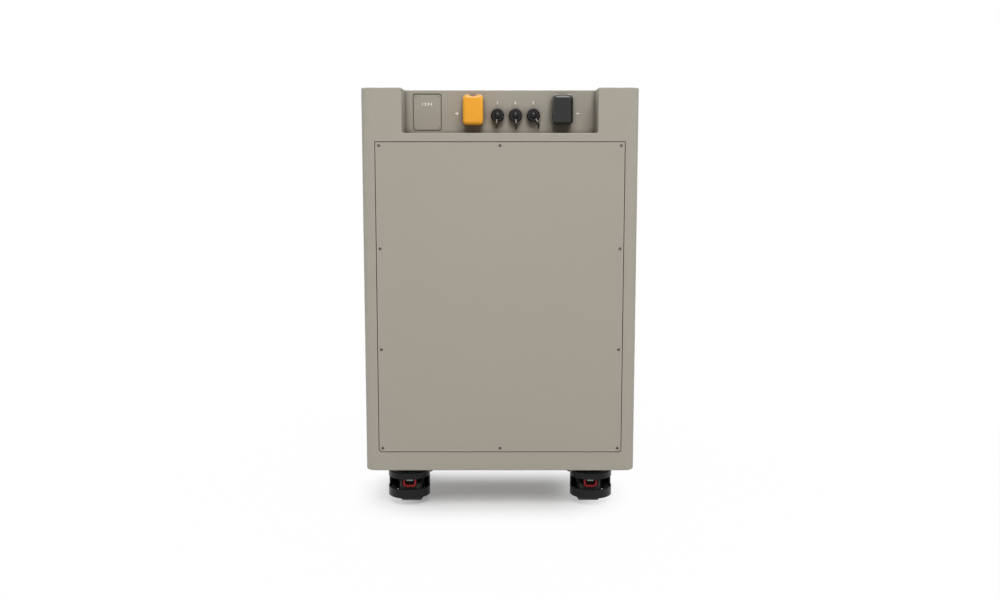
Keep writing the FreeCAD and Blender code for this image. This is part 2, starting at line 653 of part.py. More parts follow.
def address_switches():
    """Circuit board on four spacers behind the hatch, with a block of small slide switches."""
    width = HATCH_WIDTH - 2 * HATCH_FLANGE + 2 * SWITCH_BOARD_MARGIN
    height = HATCH_HEIGHT - 2 * HATCH_FLANGE + 2 * SWITCH_BOARD_MARGIN
    flange_back = BAY_BACK + SHEET
    board_front = flange_back + SWITCH_SPACER_LENGTH
    board_back = board_front + SWITCH_BOARD_THICKNESS
    board = rounded_block(width, height, SWITCH_BOARD_THICKNESS, [HATCH_RADIUS] * 4)
    board = facing_service(board, HATCH_CENTRE_X, board_back, HATCH_MIDDLE)
    block_front = board_front - SWITCH_BLOCK_DEPTH
    half_w, half_h = SWITCH_BLOCK_WIDTH / 2, SWITCH_BLOCK_HEIGHT / 2
    block = box(HATCH_CENTRE_X - half_w, HATCH_CENTRE_X + half_w, block_front, board_front,
                HATCH_MIDDLE - half_h, HATCH_MIDDLE + half_h)
    pieces = [board, block]
    spacer_x = width / 2 - SWITCH_SPACER_RADIUS
    spacer_z = height / 2 - SWITCH_SPACER_RADIUS
    for sx in (-1, 1):
        for sz in (-1, 1):
            foot = Vector(HATCH_CENTRE_X + sx * spacer_x, flange_back, HATCH_MIDDLE + sz * spacer_z)
            pieces.append(rod(SWITCH_SPACER_RADIUS, foot, Y_AXIS, SWITCH_SPACER_LENGTH))
    pitch = SWITCH_BLOCK_WIDTH / SWITCH_KEYS
    for key in range(SWITCH_KEYS):
        x = HATCH_CENTRE_X - half_w + pitch * (key + 0.5)
        z = HATCH_MIDDLE + (SWITCH_KEY if key % 3 else -SWITCH_KEY)
        pieces.append(box(x - SWITCH_KEY / 2, x + SWITCH_KEY / 2, block_front - SWITCH_KEY, block_front,
                          z - SWITCH_KEY / 2, z + SWITCH_KEY / 2))
    return fused(pieces)


def power_socket(x):
    """Panel receptacle: square flange, open barrel to the service side, body through the wall."""
    flange = rounded_block(SOCKET_FLANGE, SOCKET_FLANGE, SOCKET_FLANGE_THICKNESS,
                           [SOCKET_FLANGE_RADIUS] * 4)
    flange = facing_service(flange, x, BAY_WALL, POWER_Z)
    reach = SOCKET_FLANGE_THICKNESS + SOCKET_BARREL_LENGTH
    barrel = rod(SOCKET_BARREL_RADIUS, Vector(x, BAY_WALL - reach, POWER_Z), Y_AXIS,
                 reach + SHEET + SOCKET_REAR_LENGTH)
    bore = rod(SOCKET_BORE_RADIUS, Vector(x, BAY_WALL - reach - CUT, POWER_Z), Y_AXIS, reach + CUT)
    pin_hole = rod(PIN_RADIUS + PIN_CLEARANCE, Vector(x, BAY_WALL - CUT, POWER_Z), Y_AXIS,
                   SHEET + SOCKET_REAR_LENGTH + 2 * CUT)
    screw_holes = [rod(SOCKET_SCREW_SHANK + SCREW_CLEARANCE, Vector(sx, BAY_WALL - reach, sz), Y_AXIS,
                       reach + CUT) for sx, sz in socket_screw_points(x)]
    return drilled(fused([flange, barrel]), [bore, pin_hole] + screw_holes)


def power_socket_screws():
    """Pan-headed screws on both power sockets' flanges."""
    face = BAY_WALL - SOCKET_FLANGE_THICKNESS
    return [pan_screw(SOCKET_SCREW_HEAD, SOCKET_SCREW_HEAD_HEIGHT, SOCKET_SCREW_SHANK, SOCKET_SCREW_LENGTH,
                      Vector(sx, face, sz), INTO_BODY)
            for x in (POSITIVE_X, NEGATIVE_X) for sx, sz in socket_screw_points(x)]


def terminal_pin(x):
    """Contact pin with a rounded nose, a rear collar and a threaded stud."""
    tip = -SOCKET_FLANGE_THICKNESS - SOCKET_BARREL_LENGTH + PIN_TIP_INSET
    collar = SHEET + SOCKET_REAR_LENGTH
    rear = collar + PIN_COLLAR_THICKNESS
    profile = [(0, tip), (PIN_NOSE_RADIUS, tip), (PIN_RADIUS, tip + PIN_NOSE_LENGTH), (PIN_RADIUS, collar),
               (PIN_COLLAR_RADIUS, collar), (PIN_COLLAR_RADIUS, rear), (PIN_RADIUS, rear),
               (PIN_RADIUS, rear + PIN_STUD_LENGTH), (0, rear + PIN_STUD_LENGTH)]
    return turned(profile, Vector(x, BAY_WALL, POWER_Z), INTO_BODY)


def cap_notch():
    """Cutter for the finger notch along a cap's top, blended into it by a shoulder on each side."""
    top = CAP_HEIGHT / 2
    reach = CAP_NOTCH_RADIUS + CAP_SHOULDER_RADIUS
    half = math.sqrt(reach ** 2 - (reach - CAP_NOTCH_DEPTH) ** 2)
    shoulder = Vector(half, top - CAP_SHOULDER_RADIUS, 0)
    inward = (Vector(0, top - CAP_NOTCH_DEPTH + CAP_NOTCH_RADIUS, 0) - shoulder).normalize()
    bend = (inward + Y_AXIS).normalize()
    right = [Vector(half, top, 0), shoulder + bend * CAP_SHOULDER_RADIUS,
             shoulder + inward * CAP_SHOULDER_RADIUS]
    left = [Vector(-point.x, point.y, 0) for point in right]
    edges = [Part.Arc(*right).toShape(),
             Part.Arc(right[2], Vector(0, top - CAP_NOTCH_DEPTH, 0), left[2]).toShape(),
             Part.Arc(*reversed(left)).toShape()]
    over = Vector(0, CUT, 0)
    outline = [left[0], left[0] + over, right[0] + over, right[0]]
    edges += [Part.makeLine(start, end) for start, end in zip(outline, outline[1:])]
    cutter = Part.Face(Part.Wire(edges)).extrude(Vector(0, 0, CAP_DEPTH + 2 * CUT))
    cutter.translate(Vector(0, 0, -CUT))
    return cutter


def terminal_cap(x):
    """Hollow push-on cap: rounded front face, finger notch along its top, ribs that grip the barrel."""
    body = rounded_block(CAP_WIDTH, CAP_HEIGHT, CAP_DEPTH, [CAP_CORNER_RADIUS] * 4)
    front = [edge for edge in body.Edges if edge.BoundBox.ZMin > CAP_DEPTH - SMALL]
    body = body.makeFillet(CAP_FACE_RADIUS, front)
    cavity_top = CAP_NOTCH_DEPTH + CAP_WALL
    cavity_height = CAP_HEIGHT - CAP_WALL - cavity_top
    cavity = rounded_block(CAP_WIDTH - 2 * CAP_WALL, cavity_height, CAP_DEPTH - CAP_WALL,
                           [CAP_CORNER_RADIUS - CAP_WALL] * 4)
    cavity.translate(Vector(0, (CAP_WALL - cavity_top) / 2, 0))
    ribs = box(-CAP_RIB / 2, CAP_RIB / 2, -CAP_HEIGHT, CAP_HEIGHT, CAP_RIB_SETBACK, CAP_DEPTH)
    ribs = ribs.fuse(box(-CAP_WIDTH, CAP_WIDTH, -CAP_RIB / 2, CAP_RIB / 2, CAP_RIB_SETBACK, CAP_DEPTH))
    grip = rod(SOCKET_BARREL_RADIUS + CAP_GRIP_FIT, Vector(0, 0, 0), Z_AXIS, CAP_DEPTH)
    cap = body.cut([cap_notch(), cavity.cut(ribs.cut(grip))])
    return facing_service(cap, x, BAY_WALL - SEAT_GAP, POWER_Z)


def contact_places(x):
    """Places of one signal socket's contacts."""
    turns = [2 * math.pi * step / CONTACT_COUNT for step in range(CONTACT_COUNT)]
    return [(x + CONTACT_CIRCLE * math.sin(turn), SIGNAL_Z + CONTACT_CIRCLE * math.cos(turn))
            for turn in turns]


def signal_contacts(x):
    """Thin contacts that stand on one signal socket's floor, and their solder tails at its rear."""
    front = BAY_WALL - EYELET_THICKNESS - CONTACT_REACH
    rear = BAY_WALL + SHEET + SIGNAL_REAR_LENGTH
    return [rod(CONTACT_RADIUS, Vector(pin_x, start, pin_z), Y_AXIS, length)
            for pin_x, pin_z in contact_places(x)
            for start, length in ((front, CONTACT_REACH), (rear, CONTACT_TAIL))]


def signal_socket(x):
    """Round panel receptacle: flange on the eyelet, barrel to the front and rear."""
    flange_back = -EYELET_THICKNESS
    flange_front = flange_back - SIGNAL_FLANGE_THICKNESS
    front = flange_front - SIGNAL_BARREL_LENGTH
    rear = SHEET + SIGNAL_REAR_LENGTH
    profile = [(0, flange_back), (SIGNAL_BORE_RADIUS, flange_back), (SIGNAL_BORE_RADIUS, front),
               (SIGNAL_BARREL_RADIUS, front), (SIGNAL_BARREL_RADIUS, flange_front),
               (SIGNAL_FLANGE_RADIUS, flange_front), (SIGNAL_FLANGE_RADIUS, flange_back),
               (SIGNAL_BARREL_RADIUS, flange_back), (SIGNAL_BARREL_RADIUS, rear), (0, rear)]
    return turned(profile, Vector(x, BAY_WALL, SIGNAL_Z), INTO_BODY)


def signal_socket_nut(x):
    """Thin hexagon nut behind the bay wall."""
    corner = NUT_ACROSS_FLATS / math.sqrt(3)
    turns = [math.pi / 3 * step for step in range(7)]
    points = [Vector(corner * math.cos(turn), corner * math.sin(turn), 0) for turn in turns]
    nut = Part.Face(Part.makePolygon(points)).extrude(Vector(0, 0, NUT_THICKNESS))
    nut = facing_service(nut, x, BAY_BACK + NUT_THICKNESS, SIGNAL_Z)
    bore = rod(SIGNAL_BARREL_RADIUS + PIN_CLEARANCE, Vector(x, BAY_WALL, SIGNAL_Z), Y_AXIS,
               SHEET + 2 * NUT_THICKNESS)
    return nut.cut(bore)


def dust_cap(x):
    """Turning cap with a scalloped rim and a mushroom knob that holds the tether's loop."""
    face = DUST_CAP_LENGTH
    neck_top = face + 2 * (LOOP_PLAY + TETHER_RADIUS)
    knob_top = neck_top + KNOB_THICKNESS
    bore = SIGNAL_BARREL_RADIUS + DUST_CAP_FIT
    bore_top = SIGNAL_BARREL_LENGTH + SEAT_GAP
    profile = [(bore, 0), (DUST_CAP_RADIUS, 0), (DUST_CAP_RADIUS, face - DUST_CAP_EDGE),
               (DUST_CAP_RADIUS - DUST_CAP_EDGE, face), (KNOB_NECK_RADIUS, face),
               (KNOB_NECK_RADIUS, neck_top), (KNOB_RADIUS, neck_top), (KNOB_RADIUS, knob_top - KNOB_EDGE),
               (KNOB_RADIUS - KNOB_EDGE, knob_top), (0, knob_top), (0, bore_top), (bore, bore_top)]
    cap = turned(profile, Vector(0, 0, 0), Z_AXIS)
    scallops = []
    for step in range(DUST_CAP_SCALLOPS):
        angle = 2 * math.pi * (step + 0.5) / DUST_CAP_SCALLOPS
        centre = DUST_CAP_RADIUS + DUST_CAP_SCALLOP_RADIUS - DUST_CAP_SCALLOP_DEPTH
        start = Vector(centre * math.cos(angle), centre * math.sin(angle), -CUT)
        scallops.append(rod(DUST_CAP_SCALLOP_RADIUS, start, Z_AXIS, DUST_CAP_SCALLOP_LENGTH + CUT))
    cap = cap.cut(scallops)
    return facing_service(cap, x, DUST_CAP_FACE + DUST_CAP_LENGTH, SIGNAL_Z)


# Each tether leaves its ferrule, droops under the cap's rim and returns to its crimp on the
# socket's eyelet. Its points are (sideways, towards the service side of the bay wall, below the
# socket's centre). The ferrule and the crimp both hang at the angle given first.
TETHERS = [
    (-9.0, [(-2.24, 17.1, 14.12), (-2.8, 18.4, 19.4), (-2.9, 14.4, 23.9), (-2.7, 7.2, 24.2),
            (-2.45, 2.2, 20.0), (-2.35, 1.6, 14.82)]),
    (5.0, [(1.25, 17.1, 14.25), (1.6, 18.4, 19.4), (1.9, 14.4, 24.0), (1.8, 7.2, 24.3),
           (1.45, 2.2, 20.1), (1.31, 1.6, 14.94)]),
    (33.0, [(7.79, 17.1, 11.99), (10.3, 18.4, 17.0), (9.4, 14.6, 23.0), (8.2, 8.0, 24.6),
            (10.0, 2.4, 18.0), (8.25, 1.6, 12.71)]),
]


def tether_points(x, route):
    """Route of one tether in the part's frame."""
    return [Vector(x + side, BAY_WALL - out, SIGNAL_Z - drop) for side, out, drop in route]


def tether_fittings(x, lean):
    """Wire loop and ferrule on the knob, and the eyelet under the socket's flange with its crimp."""
    centre = Vector(x, LOOP_Y, SIGNAL_Z)
    hang = Vector(math.sin(math.radians(lean)), 0, -math.cos(math.radians(lean)))
    loop_radius = KNOB_NECK_RADIUS + LOOP_FIT + TETHER_RADIUS
    loop = Part.makeTorus(loop_radius, TETHER_RADIUS, centre, Y_AXIS)
    ferrule = rod(FERRULE_RADIUS, centre + hang * FERRULE_START, hang, FERRULE_END - FERRULE_START)
    neck = rod(TETHER_RADIUS, centre + hang * loop_radius, hang, FERRULE_START - loop_radius + CUT)
    ring = rod(SIGNAL_FLANGE_RADIUS - EYELET_MARGIN, Vector(x, BAY_WALL - EYELET_THICKNESS, SIGNAL_Z),
               Y_AXIS, EYELET_THICKNESS)
    hole = rod(SIGNAL_BARREL_RADIUS + PIN_CLEARANCE, Vector(x, BAY_WALL - CUT, SIGNAL_Z), Y_AXIS, 2 * CUT)
    tab = box(x - CRIMP_RADIUS, x + CRIMP_RADIUS, BAY_WALL - EYELET_THICKNESS, BAY_WALL,
              SIGNAL_Z - CRIMP_END, SIGNAL_Z - SIGNAL_BARREL_RADIUS - CUT)
    crimp = rod(CRIMP_RADIUS, Vector(x, BAY_WALL - CRIMP_OUT, SIGNAL_Z - CRIMP_END), Z_AXIS,
                CRIMP_END - CRIMP_START)
    eyelet = fused([ring.cut(hole), tab, crimp])
    eyelet.rotate(Vector(x, BAY_WALL, SIGNAL_Z), Y_AXIS, -lean)
    return [fused([loop, neck, ferrule]), eyelet]


def battery_cells():
    """Prismatic cells lying in stacked columns, their posts towards the service side."""
    cells = []
    for column in range(CELL_COLUMNS):
        left = MODULE_LEFT + column * (CELL_WIDTH + COLUMN_GAP)
        middle = left + CELL_WIDTH / 2
        for row in range(CELLS_PER_COLUMN):
            low = CELLS_LOW + row * CELL_PITCH + (CELL_PITCH - CELL_THICKNESS) / 2
            high = low + CELL_THICKNESS
            pieces = [box(left, left + CELL_WIDTH, MODULE_SERVICE_SIDE, MODULE_ROOM_SIDE, low, high)]
            for side in (-1, 1):
                foot = Vector(middle + side * CELL_POST_SPREAD / 2, MODULE_SERVICE_SIDE, (low + high) / 2)
                pieces.append(rod(CELL_POST_RADIUS, foot, OUT_OF_BODY, CELL_POST_HEIGHT))
            cells.append(fused(pieces))
    return cells


def busbars():
    """Straps that join the cells in series, up one column, across, and down the other."""
    straps = []
    back = MODULE_SERVICE_SIDE - CELL_POST_HEIGHT
    front = back - BUSBAR_THICKNESS
    half = BUSBAR_WIDTH / 2
    for column in range(CELL_COLUMNS):
        middle = MODULE_LEFT + column * (CELL_WIDTH + COLUMN_GAP) + CELL_WIDTH / 2
        outward = -1 if column == 0 else 1
        for row in range(CELLS_PER_COLUMN - 1):
            away = outward if row % 2 == 0 else -outward
            x = middle + away * CELL_POST_SPREAD / 2
            low = CELLS_LOW + (row + 0.5) * CELL_PITCH
            straps.append(box(x - half, x + half, front, back, low - half, low + CELL_PITCH + half))
    seam = MODULE_LEFT + CELL_WIDTH + COLUMN_GAP / 2
    reach = (CELL_WIDTH + COLUMN_GAP - CELL_POST_SPREAD) / 2 + half
    top = CELLS_LOW + (CELLS_PER_COLUMN - 0.5) * CELL_PITCH
    straps.append(box(seam - reach, seam + reach, front, back, top - half, top + half))
    return straps


def end_plates():
    """Compression plates under and over the cell stacks."""
    plates = []
    for low in (BASE_TOP, CELLS_HIGH):
        plate = box(MODULE_LEFT, MODULE_RIGHT, MODULE_SERVICE_SIDE - END_PLATE_REACH,
                    MODULE_ROOM_SIDE + END_PLATE_REACH, low, low + END_PLATE)
        plates.append(drilled(plate, [rod(ROD_RADIUS + PIN_CLEARANCE, Vector(x, y, low - CUT), Z_AXIS,
                                          END_PLATE + 2 * CUT) for x, y in rod_places()]))
    return plates


def rod_places():
    """Places of the tie rods, just clear of the cells' ends."""
    middle = MODULE_LEFT + CELL_WIDTH + COLUMN_GAP / 2
    xs = [MODULE_LEFT + 2 * ROD_RADIUS, middle, MODULE_RIGHT - 2 * ROD_RADIUS]
    return [(x, y) for x in xs for y in (MODULE_SERVICE_SIDE - ROD_OFFSET, MODULE_ROOM_SIDE + ROD_OFFSET)]


def tie_rods():
    """Rods that pull the end plates together, screwed in flush at both ends."""
    length = CELLS_HIGH + END_PLATE - BASE_TOP
    return [rod(ROD_RADIUS, Vector(x, y, BASE_TOP), Z_AXIS, length) for x, y in rod_places()]


def module_brackets():
    """Angle brackets that bolt the lower end plate to the base plate, on both sides of the module."""
    brackets = []
    middle = (MODULE_SERVICE_SIDE + MODULE_ROOM_SIDE) / 2
    half = BRACKET_LENGTH / 2
    for side, face in ((-1, MODULE_LEFT), (1, MODULE_RIGHT)):
        for step in (-1, 1):
            y = middle + step * BRACKET_SPREAD / 2
            thick, far = face + side * BRACKET_THICKNESS, face + side * BRACKET_LEG
            upright = box(min(face, thick), max(face, thick), y - half, y + half, BASE_TOP,
                          BASE_TOP + END_PLATE)
            foot = box(min(face, far), max(face, far), y - half, y + half, BASE_TOP,
                       BASE_TOP + BRACKET_THICKNESS)
            brackets.append(fused([upright, foot]))
    return brackets


def control_board():
    """Battery management board on standoffs from the right-hand wall, with its tall parts."""
    back = INNER_HALF_WIDTH - BOARD_STANDOFF
    front = back - BOARD_THICKNESS
    low = BASE_TOP + BOARD_BASE_HEIGHT
    high = low + BOARD_HEIGHT
    half = BOARD_DEPTH / 2
    pieces = [box(front, back, -half, half, low, high)]
    for y in (-half + STANDOFF_INSET, half - STANDOFF_INSET):
        for z in (low + STANDOFF_INSET, high - STANDOFF_INSET):
            pieces.append(rod(STANDOFF_RADIUS, Vector(back, y, z), X_AXIS, BOARD_STANDOFF))
    for step in range(CONNECTORS):
        y = -half + 2 * STANDOFF_INSET + step * CONNECTOR_PITCH
        pieces.append(box(front - CONNECTOR_HEIGHT, front, y, y + CONNECTOR_WIDTH,
                          low + STANDOFF_INSET, low + STANDOFF_INSET + CONNECTOR_HEIGHT))
    return fused(pieces)


def heat_sink():
    """Finned aluminium sink on the upper half of the board."""
    board_front = INNER_HALF_WIDTH - BOARD_STANDOFF - BOARD_THICKNESS
    base_front = board_front - SINK_BASE
    high = BASE_TOP + BOARD_BASE_HEIGHT + BOARD_HEIGHT - 2 * STANDOFF_INSET
    half = SINK_DEPTH / 2
    pieces = [box(base_front, board_front, -half, half, high - SINK_HEIGHT, high)]
    pitch = (SINK_DEPTH - SINK_FIN) / (SINK_FINS - 1)
    for fin in range(SINK_FINS):
        y = -half + fin * pitch
        pieces.append(box(base_front - SINK_FIN_HEIGHT, base_front, y, y + SINK_FIN,
                          high - SINK_HEIGHT, high))
    return fused(pieces)


def contactor():
    """Round contactor on a square foot, with two posts on top."""
    foot = rounded_block(CONTACTOR_FOOT, CONTACTOR_FOOT, CONTACTOR_FOOT_THICKNESS, [STANDOFF_RADIUS] * 4)
    foot.translate(Vector(SIDE_MIDDLE, CONTACTOR_Y, BASE_TOP))
    can = rod(CONTACTOR_RADIUS, Vector(SIDE_MIDDLE, CONTACTOR_Y, BASE_TOP), Z_AXIS, CONTACTOR_HEIGHT)
    posts = [rod(CONTACTOR_POST_RADIUS, Vector(SIDE_MIDDLE, CONTACTOR_Y + side * CONTACTOR_POST_SPREAD / 2,
                                               BASE_TOP + CONTACTOR_HEIGHT), Z_AXIS, CONTACTOR_POST_HEIGHT)
             for side in (-1, 1)]
    return fused([foot, can] + posts)


def main_fuse():
    """Cartridge fuse lying in its holder, with a foot at each end."""
    half = FUSE_LENGTH / 2
    pieces = [box(SIDE_MIDDLE - FUSE_WIDTH / 2, SIDE_MIDDLE + FUSE_WIDTH / 2, FUSE_Y - half, FUSE_Y + half,
                  BASE_TOP, BASE_TOP + FUSE_FOOT)]
    centre_z = BASE_TOP + FUSE_FOOT + FUSE_RADIUS - FUSE_BLADE / 2
    pieces.append(rod(FUSE_RADIUS, Vector(SIDE_MIDDLE, FUSE_Y - half / 2, centre_z), Y_AXIS, half))
    for y in (FUSE_Y - half, FUSE_Y + half - FUSE_FOOT):
        pieces.append(box(SIDE_MIDDLE - FUSE_WIDTH / 4, SIDE_MIDDLE + FUSE_WIDTH / 4, y, y + FUSE_FOOT,
                          BASE_TOP + FUSE_FOOT, centre_z + FUSE_FOOT / 2))
    reach = half - FUSE_BLADE / 2
    pieces.append(box(SIDE_MIDDLE - FUSE_WIDTH / 4, SIDE_MIDDLE + FUSE_WIDTH / 4, FUSE_Y - reach,
                      FUSE_Y + reach, centre_z - FUSE_BLADE / 2, centre_z + FUSE_BLADE / 2))
    return fused(pieces)


def power_leads():
    """Two insulated leads from the electronics up behind the bay to the sockets' studs."""
    stud_end = BAY_WALL + SHEET + SOCKET_REAR_LENGTH + PIN_COLLAR_THICKNESS + PIN_STUD_LENGTH
    post_top = BASE_TOP + CONTACTOR_HEIGHT + CONTACTOR_POST_HEIGHT
    start_y = CONTACTOR_Y + CONTACTOR_POST_SPREAD / 2
    high = POWER_Z - 2 * LEAD_RADIUS
    behind = stud_end + LEAD_BEND_ROOM
    positive = [Vector(SIDE_MIDDLE, start_y, post_top), Vector(SIDE_MIDDLE, start_y, high),
                Vector(SIDE_MIDDLE, behind, high), Vector(POSITIVE_X, behind, POWER_Z),
                Vector(POSITIVE_X, stud_end, POWER_Z)]
    board_top = BASE_TOP + BOARD_BASE_HEIGHT + BOARD_HEIGHT
    negative_x = INNER_HALF_WIDTH - BOARD_STANDOFF - LEAD_RADIUS
    high = high - 4 * LEAD_RADIUS
    behind = stud_end + LEAD_BEND_ROOM / 2
    negative = [Vector(negative_x, 0, board_top), Vector(negative_x, 0, high),
                Vector(negative_x, behind, high), Vector(NEGATIVE_X, behind, POWER_Z),
                Vector(NEGATIVE_X, stud_end, POWER_Z)]
    return [tube_along(points, LEAD_RADIUS, BEND_SHARE)[0] for points in (positive, negative)]


def power_button():
    """Round push button whose face lies flush in its bezel."""
    profile = [(0, -BUTTON_LENGTH), (BUTTON_RADIUS, -BUTTON_LENGTH), (BUTTON_RADIUS, -KNOB_EDGE),
               (BUTTON_RADIUS - KNOB_EDGE, 0), (0, 0)]
    return turned(profile, Vector(BUTTON_X, ROOM_FACE, BUTTON_Z), Y_AXIS)


def button_bezel():
    """Ring and rear cup that carry the button, with room behind it for its travel."""
    inner = BUTTON_RADIUS + BUTTON_FIT
    floor = -BUTTON_LENGTH - BUTTON_TRAVEL - SEAT_GAP
    profile = [(inner, 0), (BEZEL_BARREL_RADIUS, 0), (BEZEL_BARREL_RADIUS, -BEZEL_LENGTH),
               (0, -BEZEL_LENGTH), (0, floor), (inner, floor)]
    return turned(profile, Vector(BUTTON_X, ROOM_FACE, BUTTON_Z), Y_AXIS)


def status_light():
    """Slim light pipe in its slot, with a flange behind the wall."""
    lens = rounded_block(LIGHT_WIDTH - 2 * LIGHT_FIT, LIGHT_HEIGHT - 2 * LIGHT_FIT, SHEET,
                         [LIGHT_HEIGHT / 2 - LIGHT_FIT] * 4)
    lens = facing_room(lens, 0, ROOM_FACE - SHEET, LIGHT_Z)
    flange = rounded_block(LIGHT_WIDTH + 2 * LIGHT_FLANGE, LIGHT_HEIGHT + 2 * LIGHT_FLANGE, LIGHT_FLANGE,
                           [LIGHT_FLANGE] * 4)
    flange = facing_room(flange, 0, ROOM_FACE - SHEET - LIGHT_FLANGE, LIGHT_Z)
    return fused([lens, flange])


def caster_screws():
    """Countersunk screws from inside the casing down into the casters' plates."""
    length = BASE_THICKNESS + SHEET + PLATE_THICKNESS
    return [countersunk_screw(PLATE_SCREW_HEAD, PLATE_SCREW_RADIUS, PLATE_SCREW_HEAD_HEIGHT, length,
                              Vector(hole_x, hole_y, BASE_TOP), Vector(0, 0, -1))
            for _, x, y, _, _ in caster_places() for hole_x, hole_y in caster_screw_points(x, y)]


def caster_plate():
    """Top plate with its bearing ring and the stem that the hood turns on."""
    plate = rounded_block(PLATE_SIZE, PLATE_SIZE, PLATE_THICKNESS, [PLATE_RADIUS] * 4)
    plate.translate(Vector(0, 0, -PLATE_THICKNESS))
    plate = drilled(plate, [rod(PLATE_SCREW_RADIUS + SCREW_CLEARANCE, Vector(x, y, -PLATE_THICKNESS - CUT),
                                Z_AXIS, PLATE_THICKNESS + 2 * CUT) for x, y in caster_screw_points(0, 0)])
    race_bottom = -(PLATE_THICKNESS + HOOD_TOP) / 2 + RACE_GAP / 2
    collar_top = -HOOD_TOP - HOOD_TOP_THICKNESS - RACE_GAP
    collar_bottom = collar_top - STEM_COLLAR_THICKNESS
    profile = [(0, -CUT), (RACE_OUTER, -CUT), (RACE_OUTER, race_bottom), (RACE_INNER, race_bottom),
               (RACE_INNER, -PLATE_THICKNESS), (STEM_RADIUS, -PLATE_THICKNESS), (STEM_RADIUS, collar_top),
               (STEM_COLLAR_RADIUS, collar_top), (STEM_COLLAR_RADIUS, collar_bottom + KNOB_EDGE),
               (STEM_COLLAR_RADIUS - KNOB_EDGE, collar_bottom), (0, collar_bottom)]
    return fused([plate, turned(profile, Vector(0, 0, 0), Z_AXIS)])


def caster_hood(wheel_x, pedal_x):
    """Turning hood: a skirt with one wide window, the fork legs and the brake's ears inside."""
    top, ceiling = -HOOD_TOP, -HOOD_TOP - HOOD_TOP_THICKNESS
    inner = HOOD_RADIUS - HOOD_WALL
    bore = STEM_RADIUS + RUNNING_FIT
    race_top = -(PLATE_THICKNESS + HOOD_TOP) / 2 - RACE_GAP / 2
    profile = [(bore, top), (RACE_INNER, top), (RACE_INNER, race_top), (RACE_OUTER, race_top),
               (RACE_OUTER, top), (HOOD_RADIUS, top), (HOOD_RADIUS, -HOOD_BOTTOM + HOOD_LOW_EDGE),
               (HOOD_RADIUS - HOOD_LOW_EDGE, -HOOD_BOTTOM), (inner, -HOOD_BOTTOM), (inner, ceiling),
               (bore, ceiling)]
    skirt = turned(profile, Vector(0, 0, 0), Z_AXIS)
    rim = [edge for edge in skirt.Edges if edge.BoundBox.ZMin > top - SMALL
           and edge.BoundBox.XMax > HOOD_RADIUS - SMALL]
    skirt = skirt.makeFillet(HOOD_EDGE, rim)
    window = Part.makeCylinder(HOOD_RADIUS + CUT, WINDOW_BOTTOM - WINDOW_TOP, Vector(0, 0, -WINDOW_BOTTOM),
                               Z_AXIS, 2 * WINDOW_HALF_ANGLE)
    window.rotate(Vector(0, 0, 0), Z_AXIS, -90 - WINDOW_HALF_ANGLE)
    skirt = skirt.cut(window)

    inside = rod(HOOD_RADIUS - HOOD_WALL / 2, Vector(0, 0, -HOOD_BOTTOM), Z_AXIS,
                 HOOD_BOTTOM + ceiling + CUT)
    pieces = [skirt]
    for side in (-1, 1):
        start = wheel_x + (FORK_INNER if side > 0 else -FORK_OUTER)
        leg = box(start, start + FORK_THICKNESS, TRAIL - FORK_HALF_WIDTH, TRAIL + FORK_HALF_WIDTH,
                  -AXLE_DROP, ceiling + CUT)
        foot = rod(FORK_HALF_WIDTH, Vector(start, TRAIL, -AXLE_DROP), X_AXIS, FORK_THICKNESS)
        pieces.append(fused([leg, foot]).common(inside))
        ear_start = pedal_x + side * (PEDAL_WIDTH / 2 + EAR_GAP + EAR_THICKNESS / 2) - EAR_THICKNESS / 2
        ear = box(ear_start, ear_start + EAR_THICKNESS, -PIVOT_FORWARD - EAR_RADIUS,
                  -PIVOT_FORWARD + EAR_RADIUS, -PIVOT_DROP, ceiling + CUT)
        tip = rod(EAR_RADIUS, Vector(ear_start, -PIVOT_FORWARD, -PIVOT_DROP), X_AXIS, EAR_THICKNESS)
        pieces.append(fused([ear, tip]).common(inside))
    axle_hole = rod(AXLE_RADIUS + RUNNING_FIT, Vector(wheel_x - FORK_OUTER - CUT, TRAIL, -AXLE_DROP),
                    X_AXIS, 2 * (FORK_OUTER + CUT))
    pin_reach = PEDAL_WIDTH / 2 + EAR_GAP + EAR_THICKNESS
    pin_hole = rod(PIVOT_RADIUS + RUNNING_FIT, Vector(pedal_x - pin_reach, -PIVOT_FORWARD, -PIVOT_DROP),
                   X_AXIS, 2 * pin_reach)
    return drilled(fused(pieces), [axle_hole, pin_hole])


def caster_wheel(wheel_x):
    """Broad roller with bevelled shoulders and dished sides."""
    half = WHEEL_WIDTH / 2
    bore = AXLE_RADIUS + RUNNING_FIT
    shoulder = WHEEL_RADIUS - WHEEL_CHAMFER
    profile = [(bore, -half), (WHEEL_HUB_RADIUS, -half), (WHEEL_HUB_RADIUS, -half + WHEEL_RECESS),
               (WHEEL_RECESS_RADIUS, -half + WHEEL_RECESS), (WHEEL_RECESS_RADIUS, -half), (shoulder, -half),
               (WHEEL_RADIUS, -half + WHEEL_CHAMFER)]
    profile += [(radius, -distance) for radius, distance in reversed(profile)]
    return turned(profile, Vector(wheel_x, TRAIL, -AXLE_DROP), X_AXIS)


def caster_axle(wheel_x):
    """Axle across the fork, headed at both ends."""
    reach = FORK_OUTER + AXLE_HEAD
    profile = [(0, -reach), (AXLE_HEAD_RADIUS, -reach), (AXLE_HEAD_RADIUS, -FORK_OUTER),
               (AXLE_RADIUS, -FORK_OUTER)]
    profile += [(radius, -distance) for radius, distance in reversed(profile)]
    return turned(profile, Vector(wheel_x, TRAIL, -AXLE_DROP), X_AXIS)


